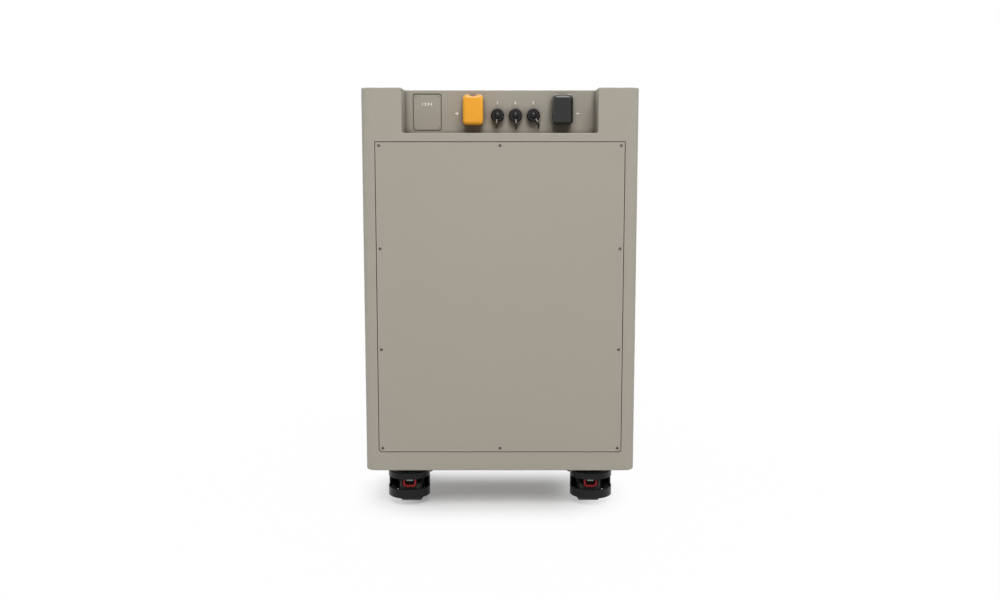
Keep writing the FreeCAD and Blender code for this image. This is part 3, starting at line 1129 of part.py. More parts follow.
def brake_pedal(pedal_x):
    """Stirrup-shaped toe lever, its arms moulded round the brake shaft."""
    height = PEDAL_BOTTOM - PIVOT_DROP
    outer = rounded_block(PEDAL_WIDTH, height, PEDAL_THICKNESS, [PEDAL_RADIUS, PEDAL_RADIUS, 0, 0])
    inner = rounded_block(PEDAL_WIDTH - 2 * PEDAL_BAR, height, PEDAL_THICKNESS,
                          [PEDAL_INNER_RADIUS, PEDAL_INNER_RADIUS, 0, 0])
    inner.translate(Vector(0, PEDAL_BAR, 0))
    stirrup = facing_service(outer.cut(inner), pedal_x, -PIVOT_FORWARD + PEDAL_THICKNESS / 2,
                             -PIVOT_DROP - height / 2)
    pieces = [stirrup]
    for side in (-1, 1):
        start = pedal_x + side * (PEDAL_WIDTH - PEDAL_BAR) / 2 - PEDAL_BAR / 2
        pieces.append(rod(EAR_RADIUS, Vector(start, -PIVOT_FORWARD, -PIVOT_DROP), X_AXIS, PEDAL_BAR))
    pin = rod(PIVOT_RADIUS, Vector(pedal_x - PEDAL_WIDTH, -PIVOT_FORWARD, -PIVOT_DROP), X_AXIS,
              2 * PEDAL_WIDTH)
    return fused(pieces).cut(pin)


def brake_shaft(pedal_x):
    """Cross pin with a front flap and the tongue that comes down on the tread."""
    pivot = Vector(pedal_x, -PIVOT_FORWARD, -PIVOT_DROP)
    reach = PEDAL_WIDTH / 2 + EAR_GAP + EAR_THICKNESS
    pin = rod(PIVOT_RADIUS, Vector(pedal_x - reach, pivot.y, pivot.z), X_AXIS, 2 * reach)
    half = TONGUE_WIDTH / 2
    flap = box(pedal_x - half, pedal_x + half, pivot.y - TONGUE_THICKNESS / 2,
               pivot.y + TONGUE_THICKNESS / 2, -FLAP_BOTTOM, pivot.z)
    across, down = TRAIL + PIVOT_FORWARD, AXLE_DROP - PIVOT_DROP
    length = math.hypot(across, down) - WHEEL_RADIUS - TONGUE_TREAD_GAP
    tongue = box(pedal_x - half, pedal_x + half, pivot.y, pivot.y + length,
                 pivot.z - TONGUE_THICKNESS / 2, pivot.z + TONGUE_THICKNESS / 2)
    locked_angle = math.degrees(math.atan2(down, across))
    tongue.rotate(pivot, X_AXIS, BRAKE_SWING - locked_angle)
    return fused([pin, flap, tongue])


def place_caster(shape, x, y, side):
    """Put a caster's piece under the body, its window turned outwards."""
    if side > 0:
        shape.rotate(Vector(0, 0, 0), Z_AXIS, 180)
    shape.translate(Vector(x, y, BODY_BOTTOM))
    return shape


def build_casters():
    """Write the six nodes of each caster."""
    for number, x, y, side_x, side_y in caster_places():
        wheel_x = side_x * side_y * WHEEL_INSET
        pedal_x = side_x * side_y * PEDAL_INSET
        pieces = {
            "caster_plate": caster_plate(),
            "hood": caster_hood(wheel_x, pedal_x),
            "wheel": caster_wheel(wheel_x),
            "axle": caster_axle(wheel_x),
            "brake_pedal": brake_pedal(pedal_x),
            "brake_shaft": brake_shaft(pedal_x),
        }
        for name, shape in pieces.items():
            save(f"{name}_{number}", place_caster(shape, x, y, side_y))


def build_bay():
    """Write what the connector bay holds."""
    save("address_cover", address_cover())
    save("address_cover_screws", address_cover_screws())
    save("address_switches", address_switches())
    save("power_sockets", [power_socket(POSITIVE_X), power_socket(NEGATIVE_X)])
    save("power_socket_screws", power_socket_screws())
    contacts = [contact for x in SIGNAL_XS for contact in signal_contacts(x)]
    save("terminal_pins", [terminal_pin(POSITIVE_X), terminal_pin(NEGATIVE_X)] + contacts)
    save("positive_cap", terminal_cap(POSITIVE_X))
    save("negative_cap", terminal_cap(NEGATIVE_X))
    save("signal_sockets", [signal_socket(x) for x in SIGNAL_XS])
    save("signal_socket_nuts", [signal_socket_nut(x) for x in SIGNAL_XS])
    fittings = []
    for number, (x, (lean, route)) in enumerate(zip(SIGNAL_XS, TETHERS), start=1):
        save(f"dust_cap_{number}", dust_cap(x))
        tether, radii = tube_along(tether_points(x, route), TETHER_RADIUS, BEND_SHARE)
        print("tether", number, "arc radii", [round(radius, 1) for radius in radii],
              "volume", round(tether.Volume, 2))
        save(f"tether_{number}", tether)
        fittings += tether_fittings(x, lean)
    save("tether_fittings", fittings)


def build_module():
    """Write the battery module and the electronics beside it."""
    save("battery_cells", battery_cells())
    save("end_plates", end_plates())
    save("tie_rods", tie_rods())
    save("busbars", busbars())
    save("module_brackets", module_brackets())
    save("control_board", control_board())
    save("heat_sink", heat_sink())
    save("contactor", contactor())
    save("main_fuse", main_fuse())
    save("power_leads", power_leads())


def build_casing():
    """Write the casing, its panel, and the button and light on the room side."""
    save("enclosure_shell", enclosure_shell())
    save("base_plate", base_plate())
    save("service_panel", service_panel())
    save("panel_gasket", panel_gasket())
    save("panel_screws", panel_screws())
    save("power_button", power_button())
    save("button_bezel", button_bezel())
    save("status_light", status_light())
    save("caster_screws", caster_screws())


os.makedirs("parts", exist_ok=True)
build_casing()
build_bay()
build_module()
build_casters()
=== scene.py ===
"""The looks of a floor-standing home battery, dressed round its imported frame.

Metres, with +Z up. The service side with its connector bay faces -Y, and +X is to the right of
somebody who faces it. Pieces that the frame already shapes well keep their shape and get a finish.
The screws with their drive recesses, the dust caps, the tethers and the printed marks are
modelled here.
"""

import json
import logging
import math
from dataclasses import dataclass, field
from enum import Enum
from typing import Callable, Sequence

import bmesh
import bpy
from mathutils import Matrix, Vector

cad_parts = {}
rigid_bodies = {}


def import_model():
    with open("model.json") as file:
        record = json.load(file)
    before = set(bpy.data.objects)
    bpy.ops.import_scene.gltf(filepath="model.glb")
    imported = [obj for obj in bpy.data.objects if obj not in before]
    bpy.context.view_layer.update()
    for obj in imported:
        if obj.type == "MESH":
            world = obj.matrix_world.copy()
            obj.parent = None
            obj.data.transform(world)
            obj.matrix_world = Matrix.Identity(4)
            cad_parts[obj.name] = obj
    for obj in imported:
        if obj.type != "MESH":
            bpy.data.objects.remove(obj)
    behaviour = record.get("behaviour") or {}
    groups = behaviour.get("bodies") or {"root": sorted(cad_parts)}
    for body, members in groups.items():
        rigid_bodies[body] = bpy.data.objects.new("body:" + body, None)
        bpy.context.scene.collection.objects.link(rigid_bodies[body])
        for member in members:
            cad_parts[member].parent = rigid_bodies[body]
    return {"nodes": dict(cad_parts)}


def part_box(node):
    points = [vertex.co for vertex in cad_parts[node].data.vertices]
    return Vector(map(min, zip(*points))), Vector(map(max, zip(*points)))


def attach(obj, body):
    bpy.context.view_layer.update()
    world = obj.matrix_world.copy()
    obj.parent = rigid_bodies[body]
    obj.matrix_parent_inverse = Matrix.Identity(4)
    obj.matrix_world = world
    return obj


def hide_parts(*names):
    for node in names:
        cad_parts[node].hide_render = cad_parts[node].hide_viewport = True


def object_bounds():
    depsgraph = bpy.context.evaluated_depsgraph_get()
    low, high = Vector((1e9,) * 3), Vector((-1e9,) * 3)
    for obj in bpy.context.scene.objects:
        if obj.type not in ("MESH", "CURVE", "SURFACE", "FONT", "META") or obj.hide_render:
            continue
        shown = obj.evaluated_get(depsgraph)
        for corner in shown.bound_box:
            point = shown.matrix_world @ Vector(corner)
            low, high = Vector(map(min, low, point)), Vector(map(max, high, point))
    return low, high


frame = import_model()
CAD_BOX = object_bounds()

LOG = logging.getLogger("home_battery")
MM = 0.001
# Turns what is modelled on the Z axis to face the service side.
TO_SERVICE_SIDE = Matrix.Rotation(math.radians(90), 4, "X")
# How far a normal reaches along an axis when its face counts as square to that axis.
SQUARE_ON = 0.99
# Angles between faces up to which turned pieces and the tethers' fittings are shaded smooth.
SMOOTH_TURNED = math.radians(35)
SMOOTH_FITTING = math.radians(40)
# Values of the noises between which the shade and the roughness change.
TONE_SPAN = (0.1, 0.45)
DRIFT_SPAN = (0.3, 0.7)
# Samples of the nodes that round the edges, and of those that find the closed-in corners where shade is
# painted.
EDGE_SAMPLES = 4
CORNER_SAMPLES = 8
Colour = tuple[float, float, float, float]


def linear(code: str) -> Colour:
    """Turn an sRGB hex code into a linear colour.

    Args:
        code: the colour as #RRGGBB.

    Returns:
        Red, green, blue and alpha for a shader socket.
    """
    channels = [int(code[start:start + 2], 16) / 255 for start in (1, 3, 5)]
    curved = [c / 12.92 if c <= 0.04045 else ((c + 0.055) / 1.055) ** 2.4 for c in channels]
    return (*curved, 1.0)


def add_node(tree: bpy.types.NodeTree, kind: str, inputs: dict[str, object] | None = None,
             **settings: object) -> bpy.types.Node:
    """Add one shader node with its settings, values and links.

    Args:
        tree: the material's or the world's node tree.
        kind: the node's type name.
        inputs: a value or another node's output for each input, by the input's identifier.
        settings: the node's own options.

    Returns:
        The new node.
    """
    node = tree.nodes.new(kind)
    for option, value in settings.items():
        setattr(node, option, value)
    for identifier, value in (inputs or {}).items():
        socket = next(one for one in node.inputs if one.identifier == identifier)
        if isinstance(value, bpy.types.NodeSocket):
            tree.links.new(value, socket)
        else:
            socket.default_value = value
    return node


@dataclass(frozen=True)
class Finish:
    """A real material with the surface that its making leaves.

    The grain is a fine even pattern. The drift is a slow change over the piece, which keeps a
    large face from looking printed in one flat colour.
    """

    name: str
    colour: str
    second_colour: str
    roughness: float
    grain_mm: float
    relief_mm: float
    metallic: float = 0.0
    ior: float = 1.5
    specular: float = 0.5
    edge_mm: float = 0.25
    drift_mm: float = 150.0
    roughness_drift: float = 0.04

    def grain(self, tree: bpy.types.NodeTree, place: bpy.types.NodeSocket) -> bpy.types.NodeSocket:
        """Draw the fine pattern at a place as a height from 0 to 1, here as a soft noise."""
        return add_node(tree, "ShaderNodeTexNoise", {
            "Vector": place, "Scale": 1 / (self.grain_mm * MM), "Detail": 2.0,
            "Roughness": 0.6}).outputs["Fac"]

    def build(self) -> bpy.types.Material:
        """Make the material, or find the one that was made before.

        Returns:
            The material.
        """
        known = bpy.data.materials.get(self.name)
        if known:
            return known
        material = bpy.data.materials.new(self.name)
        material.use_nodes = True
        tree = material.node_tree
        shader = tree.nodes["Principled BSDF"]
        place = add_node(tree, "ShaderNodeTexCoord").outputs["Object"]
        grain = self.grain(tree, place)
        drift = add_node(tree, "ShaderNodeTexNoise", {
            "Vector": place, "Scale": 1 / (self.drift_mm * MM), "Detail": 3.0}).outputs["Fac"]
        tone = add_node(tree, "ShaderNodeMath", {"Value": grain, "Value_001": drift}, operation="MULTIPLY")
        spread = add_node(tree, "ShaderNodeMapRange", {
            "Value": tone.outputs[0], "From Min": TONE_SPAN[0], "From Max": TONE_SPAN[1]})
        colour = add_node(tree, "ShaderNodeMix", {
            "Factor_Float": spread.outputs[0], "A_Color": linear(self.colour),
            "B_Color": linear(self.second_colour)}, data_type="RGBA")
        rough = add_node(tree, "ShaderNodeMapRange", {
            "Value": drift, "From Min": DRIFT_SPAN[0], "From Max": DRIFT_SPAN[1],
            "To Min": self.roughness - self.roughness_drift,
            "To Max": self.roughness + self.roughness_drift})
        edge = add_node(tree, "ShaderNodeBevel", {"Radius": self.edge_mm * MM}, samples=EDGE_SAMPLES)
        bump = add_node(tree, "ShaderNodeBump", {
            "Height": grain, "Strength": 1.0, "Distance": self.relief_mm * MM,
            "Normal": edge.outputs["Normal"]})
        tree.links.new(colour.outputs["Result"], shader.inputs["Base Color"])
        tree.links.new(rough.outputs[0], shader.inputs["Roughness"])
        tree.links.new(bump.outputs["Normal"], shader.inputs["Normal"])
        shader.inputs["Metallic"].default_value = self.metallic
        if not self.metallic:
            shader.inputs["IOR"].default_value = self.ior
            shader.inputs["Specular IOR Level"].default_value = self.specular
        self.extras(tree, shader)
        return material

    def extras(self, tree: bpy.types.NodeTree, shader: bpy.types.Node) -> None:
        """Set what only some finishes have. A plain finish has nothing more."""


@dataclass(frozen=True)
class PowderCoat(Finish):
    """Baked powder paint: two sizes of orange peel, and painted shade that darkens it in the crevices.

    The shade is painted into the colour where ambient occlusion finds narrow gaps and inner corners.
    """

    peel_mm: float = 2.2
    fine_share: float = 0.7
    crevice_mm: float = 14.0
    crevice_span: tuple[float, float] = (0.15, 0.85)
    crevice_colour: str = "#3A372F"

    def grain(self, tree: bpy.types.NodeTree, place: bpy.types.NodeSocket) -> bpy.types.NodeSocket:
        """Lay the fine texture over the broader waves of the paint film.

        Args:
            tree: the material's node tree.
            place: the point on the piece.

        Returns:
            The height of the pattern.
        """
        fine = Finish.grain(self, tree, place)
        peel = add_node(tree, "ShaderNodeTexNoise", {
            "Vector": place, "Scale": 1 / (self.peel_mm * MM), "Detail": 1.0}).outputs["Fac"]
        return add_node(tree, "ShaderNodeMath", {
            "Value": fine, "Value_001": self.fine_share, "Value_002": peel},
            operation="MULTIPLY_ADD").outputs[0]

    def extras(self, tree: bpy.types.NodeTree, shader: bpy.types.Node) -> None:
        """Paint shade into the colour where the surface is closed in.

        Args:
            tree: the material's node tree.
            shader: the material's shader.
        """
        film = shader.inputs["Base Color"].links[0].from_socket
        # Painted shade: the colour darkens towards the shade colour where ambient occlusion is low.
        around = add_node(tree, "ShaderNodeAmbientOcclusion", {"Distance": self.crevice_mm * MM},
                          samples=CORNER_SAMPLES)
        unshaded_share = add_node(tree, "ShaderNodeMapRange", {
            "Value": around.outputs["AO"], "From Min": self.crevice_span[0],
            "From Max": self.crevice_span[1]})
        shaded_colour = add_node(tree, "ShaderNodeMix", {
            "Factor_Float": unshaded_share.outputs[0], "A_Color": linear(self.crevice_colour),
            "B_Color": film}, data_type="RGBA")
        tree.links.new(shaded_colour.outputs["Result"], shader.inputs["Base Color"])


@dataclass(frozen=True)
class SparkErodedPlastic(Finish):
    """Plastic moulded in a spark-eroded tool: tiny even craters that break up the gloss."""

    def grain(self, tree: bpy.types.NodeTree, place: bpy.types.NodeSocket) -> bpy.types.NodeSocket:
        """Draw the craters as rounded cells."""
        cells = add_node(tree, "ShaderNodeTexVoronoi", {
            "Vector": place, "Scale": 1 / (self.grain_mm * MM), "Smoothness": 0.6}, feature="SMOOTH_F1")
        return cells.outputs["Distance"]


@dataclass(frozen=True)
class MouldedRubber(SparkErodedPlastic):
    """Moulded rubber, whose gloss dies away where the surface is closed in.

    This is painted shade: ambient occlusion lowers the strength of the reflection in the corners.
    """

    corner_mm: float = 5.0
    corner_span: tuple[float, float] = (0.4, 0.9)
    corner_specular: float = 0.05

    def extras(self, tree: bpy.types.NodeTree, shader: bpy.types.Node) -> None:
        """Paint shade into the corners by lowering the reflection's strength with ambient occlusion.

        Args:
            tree: the material's node tree.
            shader: the material's shader.
        """
        # Painted shade: the reflection's strength falls where ambient occlusion is low.
        around = add_node(tree, "ShaderNodeAmbientOcclusion", {"Distance": self.corner_mm * MM},
                          samples=CORNER_SAMPLES)
        gloss = add_node(tree, "ShaderNodeMapRange", {
            "Value": around.outputs["AO"], "From Min": self.corner_span[0],
            "From Max": self.corner_span[1], "To Min": self.corner_specular, "To Max": self.specular})
        tree.links.new(gloss.outputs[0], shader.inputs["Specular IOR Level"])


@dataclass(frozen=True)
class PlatedMetal(Finish):
    """Plated or polished metal: small crystals, which differ a little in shade."""

    metallic: float = 1.0

    def grain(self, tree: bpy.types.NodeTree, place: bpy.types.NodeSocket) -> bpy.types.NodeSocket:
        """Draw the crystals as flat cells."""
        cells = add_node(tree, "ShaderNodeTexVoronoi", {"Vector": place, "Scale": 1 / (self.grain_mm * MM)})
        return add_node(tree, "ShaderNodeSeparateColor", {"Color": cells.outputs["Color"]}).outputs["Red"]


@dataclass(frozen=True)
class DrawnMetal(Finish):
    """Extruded, drawn or rolled metal: long fine lines along one axis."""

    metallic: float = 1.0
    along: tuple[float, float, float] = (1.0, 1.0, 0.02)

    def grain(self, tree: bpy.types.NodeTree, place: bpy.types.NodeSocket) -> bpy.types.NodeSocket:
        """Stretch the noise along the draw."""
        lines = add_node(tree, "ShaderNodeMapping", {"Vector": place, "Scale": self.along})
        return Finish.grain(self, tree, lines.outputs["Vector"])


@dataclass(frozen=True)
class OpalAcrylic(Finish):
    """Light pipe of opal acrylic, a little see-through near its surface."""

    scatter: float = 0.6
    scatter_mm: float = 2.0

    def extras(self, tree: bpy.types.NodeTree, shader: bpy.types.Node) -> None:
        """Let light scatter just under the surface."""
        shader.inputs["Subsurface Weight"].default_value = self.scatter
        shader.inputs["Subsurface Scale"].default_value = self.scatter_mm * MM


# Polyester powder on steel: warm grey, matt, with a fine texture that only a close look shows.
# Its crevices and inner corners get painted shade from ambient occlusion.
POWDER_COAT = PowderCoat("polyester_powder_coat", "#A7A195", "#A59F93", 0.55, 0.45, 0.012, specular=0.3,
                         edge_mm=0.5, drift_mm=400.0, roughness_drift=0.02)
# Zinc on steel: bright grey with a faint bluish mottle.
ZINC_PLATE = PlatedMetal("zinc_plated_steel", "#B4B7BA", "#A2A6AA", 0.34, 0.9, 0.002)
# Machine screws in passivated zinc: dark warm grey.
DARK_ZINC = PlatedMetal("passivated_zinc_screw", "#6E6B64", "#595650", 0.42, 0.25, 0.002, edge_mm=0.12)
# Small screws of the hatch: painted over with the casing's powder.
PAINTED_SCREW = PowderCoat("powder_coated_screw", "#A19B8F", "#9D978B", 0.5, 0.3, 0.006, specular=0.3,
                           edge_mm=0.1)
# Axles: black-oxide steel with a trace of oil.
BLACK_OXIDE = PlatedMetal("black_oxide_steel", "#2B2B2A", "#232322", 0.4, 0.3, 0.001, edge_mm=0.15)
# Flange screws: stainless steel, bright and smooth, with the lines of the rolling mill.
STAINLESS = DrawnMetal("rolled_stainless_steel", "#C9CACB", "#B7B9BB", 0.24, 0.12, 0.001, edge_mm=0.1,
                       along=(1.0, 0.05, 1.0))
# Brake shaft and flap: tumbled spring steel, greyer and duller.
SPRING_STEEL = DrawnMetal("tumbled_spring_steel", "#838A85", "#747B77", 0.42, 0.3, 0.002, edge_mm=0.2,
                          along=(0.05, 1.0, 1.0))
# Ferrules on the tethers: swaged nickel-plated brass, bright but soft.
SWAGED_NICKEL = PlatedMetal("nickel_plated_ferrule", "#C4C2BA", "#B3B1A8", 0.32, 0.4, 0.001, edge_mm=0.08)
# Closed-cell foam: black and dull, full of small pores.
FOAM_SEAL = SparkErodedPlastic("epdm_foam", "#1B1B1A", "#262624", 0.9, 0.7, 0.15)
# Coated glass-fibre board: deep green under a clear gloss.
BOARD_GREEN = Finish("solder_masked_glass_board", "#0F4A2C", "#0C3F26", 0.32, 0.5, 0.01)
# Glass-filled nylon: black with a dry grey bloom from the fibres.
BLACK_NYLON = SparkErodedPlastic("glass_filled_nylon", "#1F1F1F", "#292928", 0.42, 0.25, 0.012,
                                 edge_mm=0.35)
# Hood mouldings: the same nylon in a smoother tool, so it shows soft long highlights.
HOOD_NYLON = SparkErodedPlastic("satin_nylon", "#0E0E0D", "#131312", 0.3, 0.3, 0.004, specular=0.23,
                                edge_mm=0.5)
# Rollers: hard nylon, duller than the hoods.
ROLLER_NYLON = SparkErodedPlastic("hard_roller_nylon", "#191918", "#222221", 0.52, 0.5, 0.02,
                                  specular=0.32, edge_mm=0.5)
# Toe lever: acetal in signal red, with a soft gloss.
RED_ACETAL = SparkErodedPlastic("red_acetal", "#A01319", "#8E0E15", 0.3, 0.35, 0.004, specular=0.25,
                                edge_mm=0.4)
# Positive cap: orange polycarbonate blend from a fine tool, with well rounded edges.
ORANGE_BLEND = SparkErodedPlastic("orange_polycarbonate_blend", "#F6AB22", "#EFA41D", 0.18, 0.25, 0.003,
                                  edge_mm=3.0)
# Negative cap: the same blend in black, with more gloss.
BLACK_BLEND = SparkErodedPlastic("black_polycarbonate_blend", "#0F0F0F", "#141414", 0.1, 0.25, 0.003,
                                 edge_mm=0.6)
# Dust caps: thermoplastic rubber with a smooth skin.
# Their corners get painted shade: the reflection weakens there.
DUST_CAP_RUBBER = MouldedRubber("thermoplastic_rubber", "#0C0C0C", "#121211", 0.2, 0.4, 0.004,
                                specular=0.34, edge_mm=0.2)
# Cords and eyelets of the tethers: polyurethane, smooth and slightly shiny.
TETHER_JACKET = Finish("polyurethane_jacket", "#111111", "#181818", 0.4, 0.3, 0.004, specular=0.35,
                       edge_mm=0.1)
# Silver on brass pins: pale, warm where it starts to tarnish.
SILVERED_BRASS = PlatedMetal("silver_plated_brass", "#D8D3C4", "#C9BFA4", 0.22, 0.6, 0.001)
# Cells in blue polyester film, which wrinkles a little.
CELL_FILM = Finish("blue_polyester_film", "#1C4E8C", "#184680", 0.25, 9.0, 0.06)
# Nickel on copper straps: warm silver.
NICKEL_COPPER = PlatedMetal("nickel_plated_copper", "#C6B9A6", "#BBA98F", 0.3, 1.2, 0.002)
# Extruded aluminium: pale grey with lines along the fins.
EXTRUDED_ALUMINIUM = DrawnMetal("extruded_aluminium", "#C3C5C7", "#B5B8BA", 0.4, 0.25, 0.003)
# Steatite fuse body: off-white glazed ceramic.
GLAZED_CERAMIC = Finish("glazed_steatite", "#E4DFD2", "#D9D3C4", 0.18, 1.5, 0.004)
# Silicone lead jacket: soft matt black.
SILICONE_JACKET = Finish("silicone_jacket", "#1C1C1D", "#242424", 0.6, 0.6, 0.01)
# Button and bezel: black ABS with a satin skin.
BLACK_ABS = SparkErodedPlastic("black_abs", "#1E1F20", "#272828", 0.4, 0.3, 0.008, edge_mm=0.3)
# Status light: opal acrylic.
OPAL = OpalAcrylic("opal_acrylic", "#E6EAEB", "#DDE2E4", 0.3, 0.8, 0.002, edge_mm=0.2)
# Screen-printed ink: a thin chalky white film with a slightly broken surface.
WHITE_INK = Finish("screen_printed_ink", "#F6F4EC", "#EEEBE2", 0.6, 0.2, 0.004, edge_mm=0.02)


@dataclass
class Dressing:
    """Which finish each node of the frame wears, by the start of its name."""

    finishes: dict[str, Finish]

    def dress(self) -> None:
        """Give every node its material."""
        for name, node in frame["nodes"].items():
            starts = [start for start in self.finishes if name.startswith(start)]
            finish = self.finishes[max(starts, key=len)]
            material = finish.build()
            for slot in node.material_slots:
                slot.material = material
            LOG.info("%s wears %s", name, finish.name)


DRESSING = Dressing({
    "enclosure_shell": POWDER_COAT, "service_panel": POWDER_COAT, "address_cover": POWDER_COAT,
    "address_cover_screws": PAINTED_SCREW, "panel_screws": DARK_ZINC, "panel_gasket": FOAM_SEAL,
    "base_plate": ZINC_PLATE, "end_plates": ZINC_PLATE, "module_brackets": ZINC_PLATE,
    "tie_rods": ZINC_PLATE, "caster_screws": ZINC_PLATE, "power_socket_screws": STAINLESS,
    "address_switches": BOARD_GREEN, "control_board": BOARD_GREEN, "power_sockets": BLACK_NYLON,
    "signal_sockets": BLACK_NYLON, "signal_socket_nuts": ZINC_PLATE, "terminal_pins": SILVERED_BRASS,
    "contactor": BLACK_NYLON, "positive_cap": ORANGE_BLEND, "negative_cap": BLACK_BLEND,
    "dust_cap": DUST_CAP_RUBBER, "tether": TETHER_JACKET, "battery_cells": CELL_FILM,
    "busbars": NICKEL_COPPER, "heat_sink": EXTRUDED_ALUMINIUM, "main_fuse": GLAZED_CERAMIC,
    "power_leads": SILICONE_JACKET, "button_bezel": BLACK_ABS, "power_button": BLACK_ABS,
    "status_light": OPAL, "caster_plate": ZINC_PLATE, "axle": BLACK_OXIDE, "brake_shaft": SPRING_STEEL,
    "hood": HOOD_NYLON, "wheel": ROLLER_NYLON, "brake_pedal": RED_ACETAL,
})


def start_piece(name: str) -> bpy.types.Object:
    """Name the object that was just added.

    Args:
        name: the name for the object and its data.

    Returns:
        The object.
    """
    piece = bpy.context.active_object
    piece.name = name
    piece.data.name = name
    return piece


def deselect_everything() -> None:
    """Leave no object selected, so that an operator acts on new pieces only."""
    for one in bpy.context.scene.objects:
        one.select_set(False)
    bpy.context.view_layer.objects.active = None


def only(piece: bpy.types.Object) -> None:
    """Make one piece the only one selected, and the active one.

    Args:
        piece: the piece.
    """
    deselect_everything()
    piece.select_set(True)
    bpy.context.view_layer.objects.active = piece


def pick_faces(piece: bpy.types.Object, test: Callable[[bmesh.types.BMFace], bool]) -> None:
    """Select faces in edit mode, and nothing else.

    Args:
        piece: the piece in edit mode.
        test: says whether a face is wanted.
    """
    bpy.ops.mesh.select_mode(type="FACE")
    bpy.ops.mesh.select_all(action="DESELECT")
    mesh = bmesh.from_edit_mesh(piece.data)
    for face in mesh.faces:
        face.select_set(bool(test(face)))
    bmesh.update_edit_mesh(piece.data)


def weld(piece: bpy.types.Object, reach: float = 0.002 * MM) -> None:
    """Join corners that lie very close together, and drop the faces that this leaves flat.

    Args:
        piece: the piece.
        reach: how close two corners are when they become one.
    """
    only(piece)
    bpy.ops.object.mode_set(mode="EDIT")
    bpy.ops.mesh.select_all(action="SELECT")
    bpy.ops.mesh.remove_doubles(threshold=reach)
    bpy.ops.mesh.dissolve_degenerate(threshold=reach)
    bpy.ops.object.mode_set(mode="OBJECT")


def combine(piece: bpy.types.Object, other: bpy.types.Object, operation: str) -> None:
    """Add a second shape to a piece or take it out of the piece, and delete the second one.

    Args:
        piece: the piece that stays.
        other: the shape that is used up.
        operation: UNION or DIFFERENCE.
    """
    only(piece)
    joining = piece.modifiers.new("combine", "BOOLEAN")
    joining.operation = operation
    joining.solver = "EXACT"
    joining.object = other
    bpy.ops.object.modifier_apply(modifier=joining.name)
    weld(piece)
    bpy.data.objects.remove(other, do_unlink=True)


def block(name: str, middle: Sequence[float], size: Sequence[float]) -> bpy.types.Object:
    """Build a box.

    Args:
        name: the piece's name.
        middle: the box's middle.
        size: its extents along X, Y and Z.

    Returns:
        The box.
    """
    deselect_everything()
    bpy.ops.mesh.primitive_cube_add(size=1.0, location=middle)
    piece = start_piece(name)
    piece.scale = size
    bpy.ops.object.transform_apply(location=True, rotation=False, scale=True)
    return piece


def turned(name: str, profile: Sequence[tuple[float, float]], sides: int = 24) -> bpy.types.Object:
    """Build a round piece on the Z axis, ring by ring.

    Args:
        name: the piece's name.
        profile: the radius and the height of each ring, from the lowest up.
        sides: how many flats each ring has.

    Returns:
        The closed piece.
    """
    (first, low), (second, high) = profile[:2]
    deselect_everything()
    bpy.ops.mesh.primitive_cone_add(vertices=sides, radius1=first, radius2=second, depth=high - low,
                                    location=(0, 0, (low + high) / 2))
    piece = start_piece(name)
    bpy.ops.object.transform_apply(location=True, rotation=False, scale=False)
    bpy.ops.object.mode_set(mode="EDIT")
    pick_faces(piece, lambda face: face.normal.z > SQUARE_ON)
    for (before, below), (radius, above) in zip(profile[1:], profile[2:]):
        bpy.ops.mesh.extrude_region_move(TRANSFORM_OT_translate={"value": (0, 0, above - below)})
        bpy.ops.transform.resize(value=(radius / before, radius / before, 1.0))
    bpy.ops.object.mode_set(mode="OBJECT")
    return piece


def copy_at(piece: bpy.types.Object, name: str, place: Matrix) -> bpy.types.Object:
    """Copy a piece with a mesh of its own, its place in that mesh.

    Args:
        piece: the model, at the origin.
        name: the copy's name.
        place: where the copy goes.

    Returns:
        The copy.
    """
    twin = piece.copy()
    twin.data = piece.data.copy()
    twin.name = name
    twin.data.name = name
    twin.data.transform(place)
    bpy.context.scene.collection.objects.link(twin)
    return twin


def finish_piece(piece: bpy.types.Object, finish: Finish, body: str) -> None:
    """Give a new piece its material and body, and report it.

    Args:
        piece: the finished piece.
        finish: what it is made of.
        body: the body that it rides on.
    """
    piece.data.materials.clear()
    piece.data.materials.append(finish.build())
    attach(piece, body)
    LOG.info("%s rides on %s", piece.name, body)


class Drive(Enum):
    """Drive recess of a screw's head, as its corners and the share of its radius at every other one."""

    HEXAGON = (6, 1.0)
    LOBED = (12, 0.72)

    def cutter(self, radius: float, depth: float) -> bpy.types.Object:
        """Model the recess as a prism that stands through z = 0.

        Args:
            radius: the recess's outer radius.
            depth: how far it reaches below z = 0.

        Returns:
            The cutter.
        """
        corners, inner = self.value
        deselect_everything()
        bpy.ops.mesh.primitive_cylinder_add(vertices=corners, radius=radius, depth=2 * depth)
        piece = start_piece("recess")
        if inner < 1:
            bpy.ops.object.mode_set(mode="EDIT")
            mesh = bmesh.from_edit_mesh(piece.data)
            for vertex in mesh.verts:
                turn = round(math.atan2(vertex.co.y, vertex.co.x) / (2 * math.pi) * corners)
                vertex.select_set(turn % 2 == 1)
            mesh.select_flush(False)
            bmesh.update_edit_mesh(piece.data)
            bpy.ops.transform.resize(value=(inner, inner, 1.0))
            bpy.ops.object.mode_set(mode="OBJECT")
        return piece


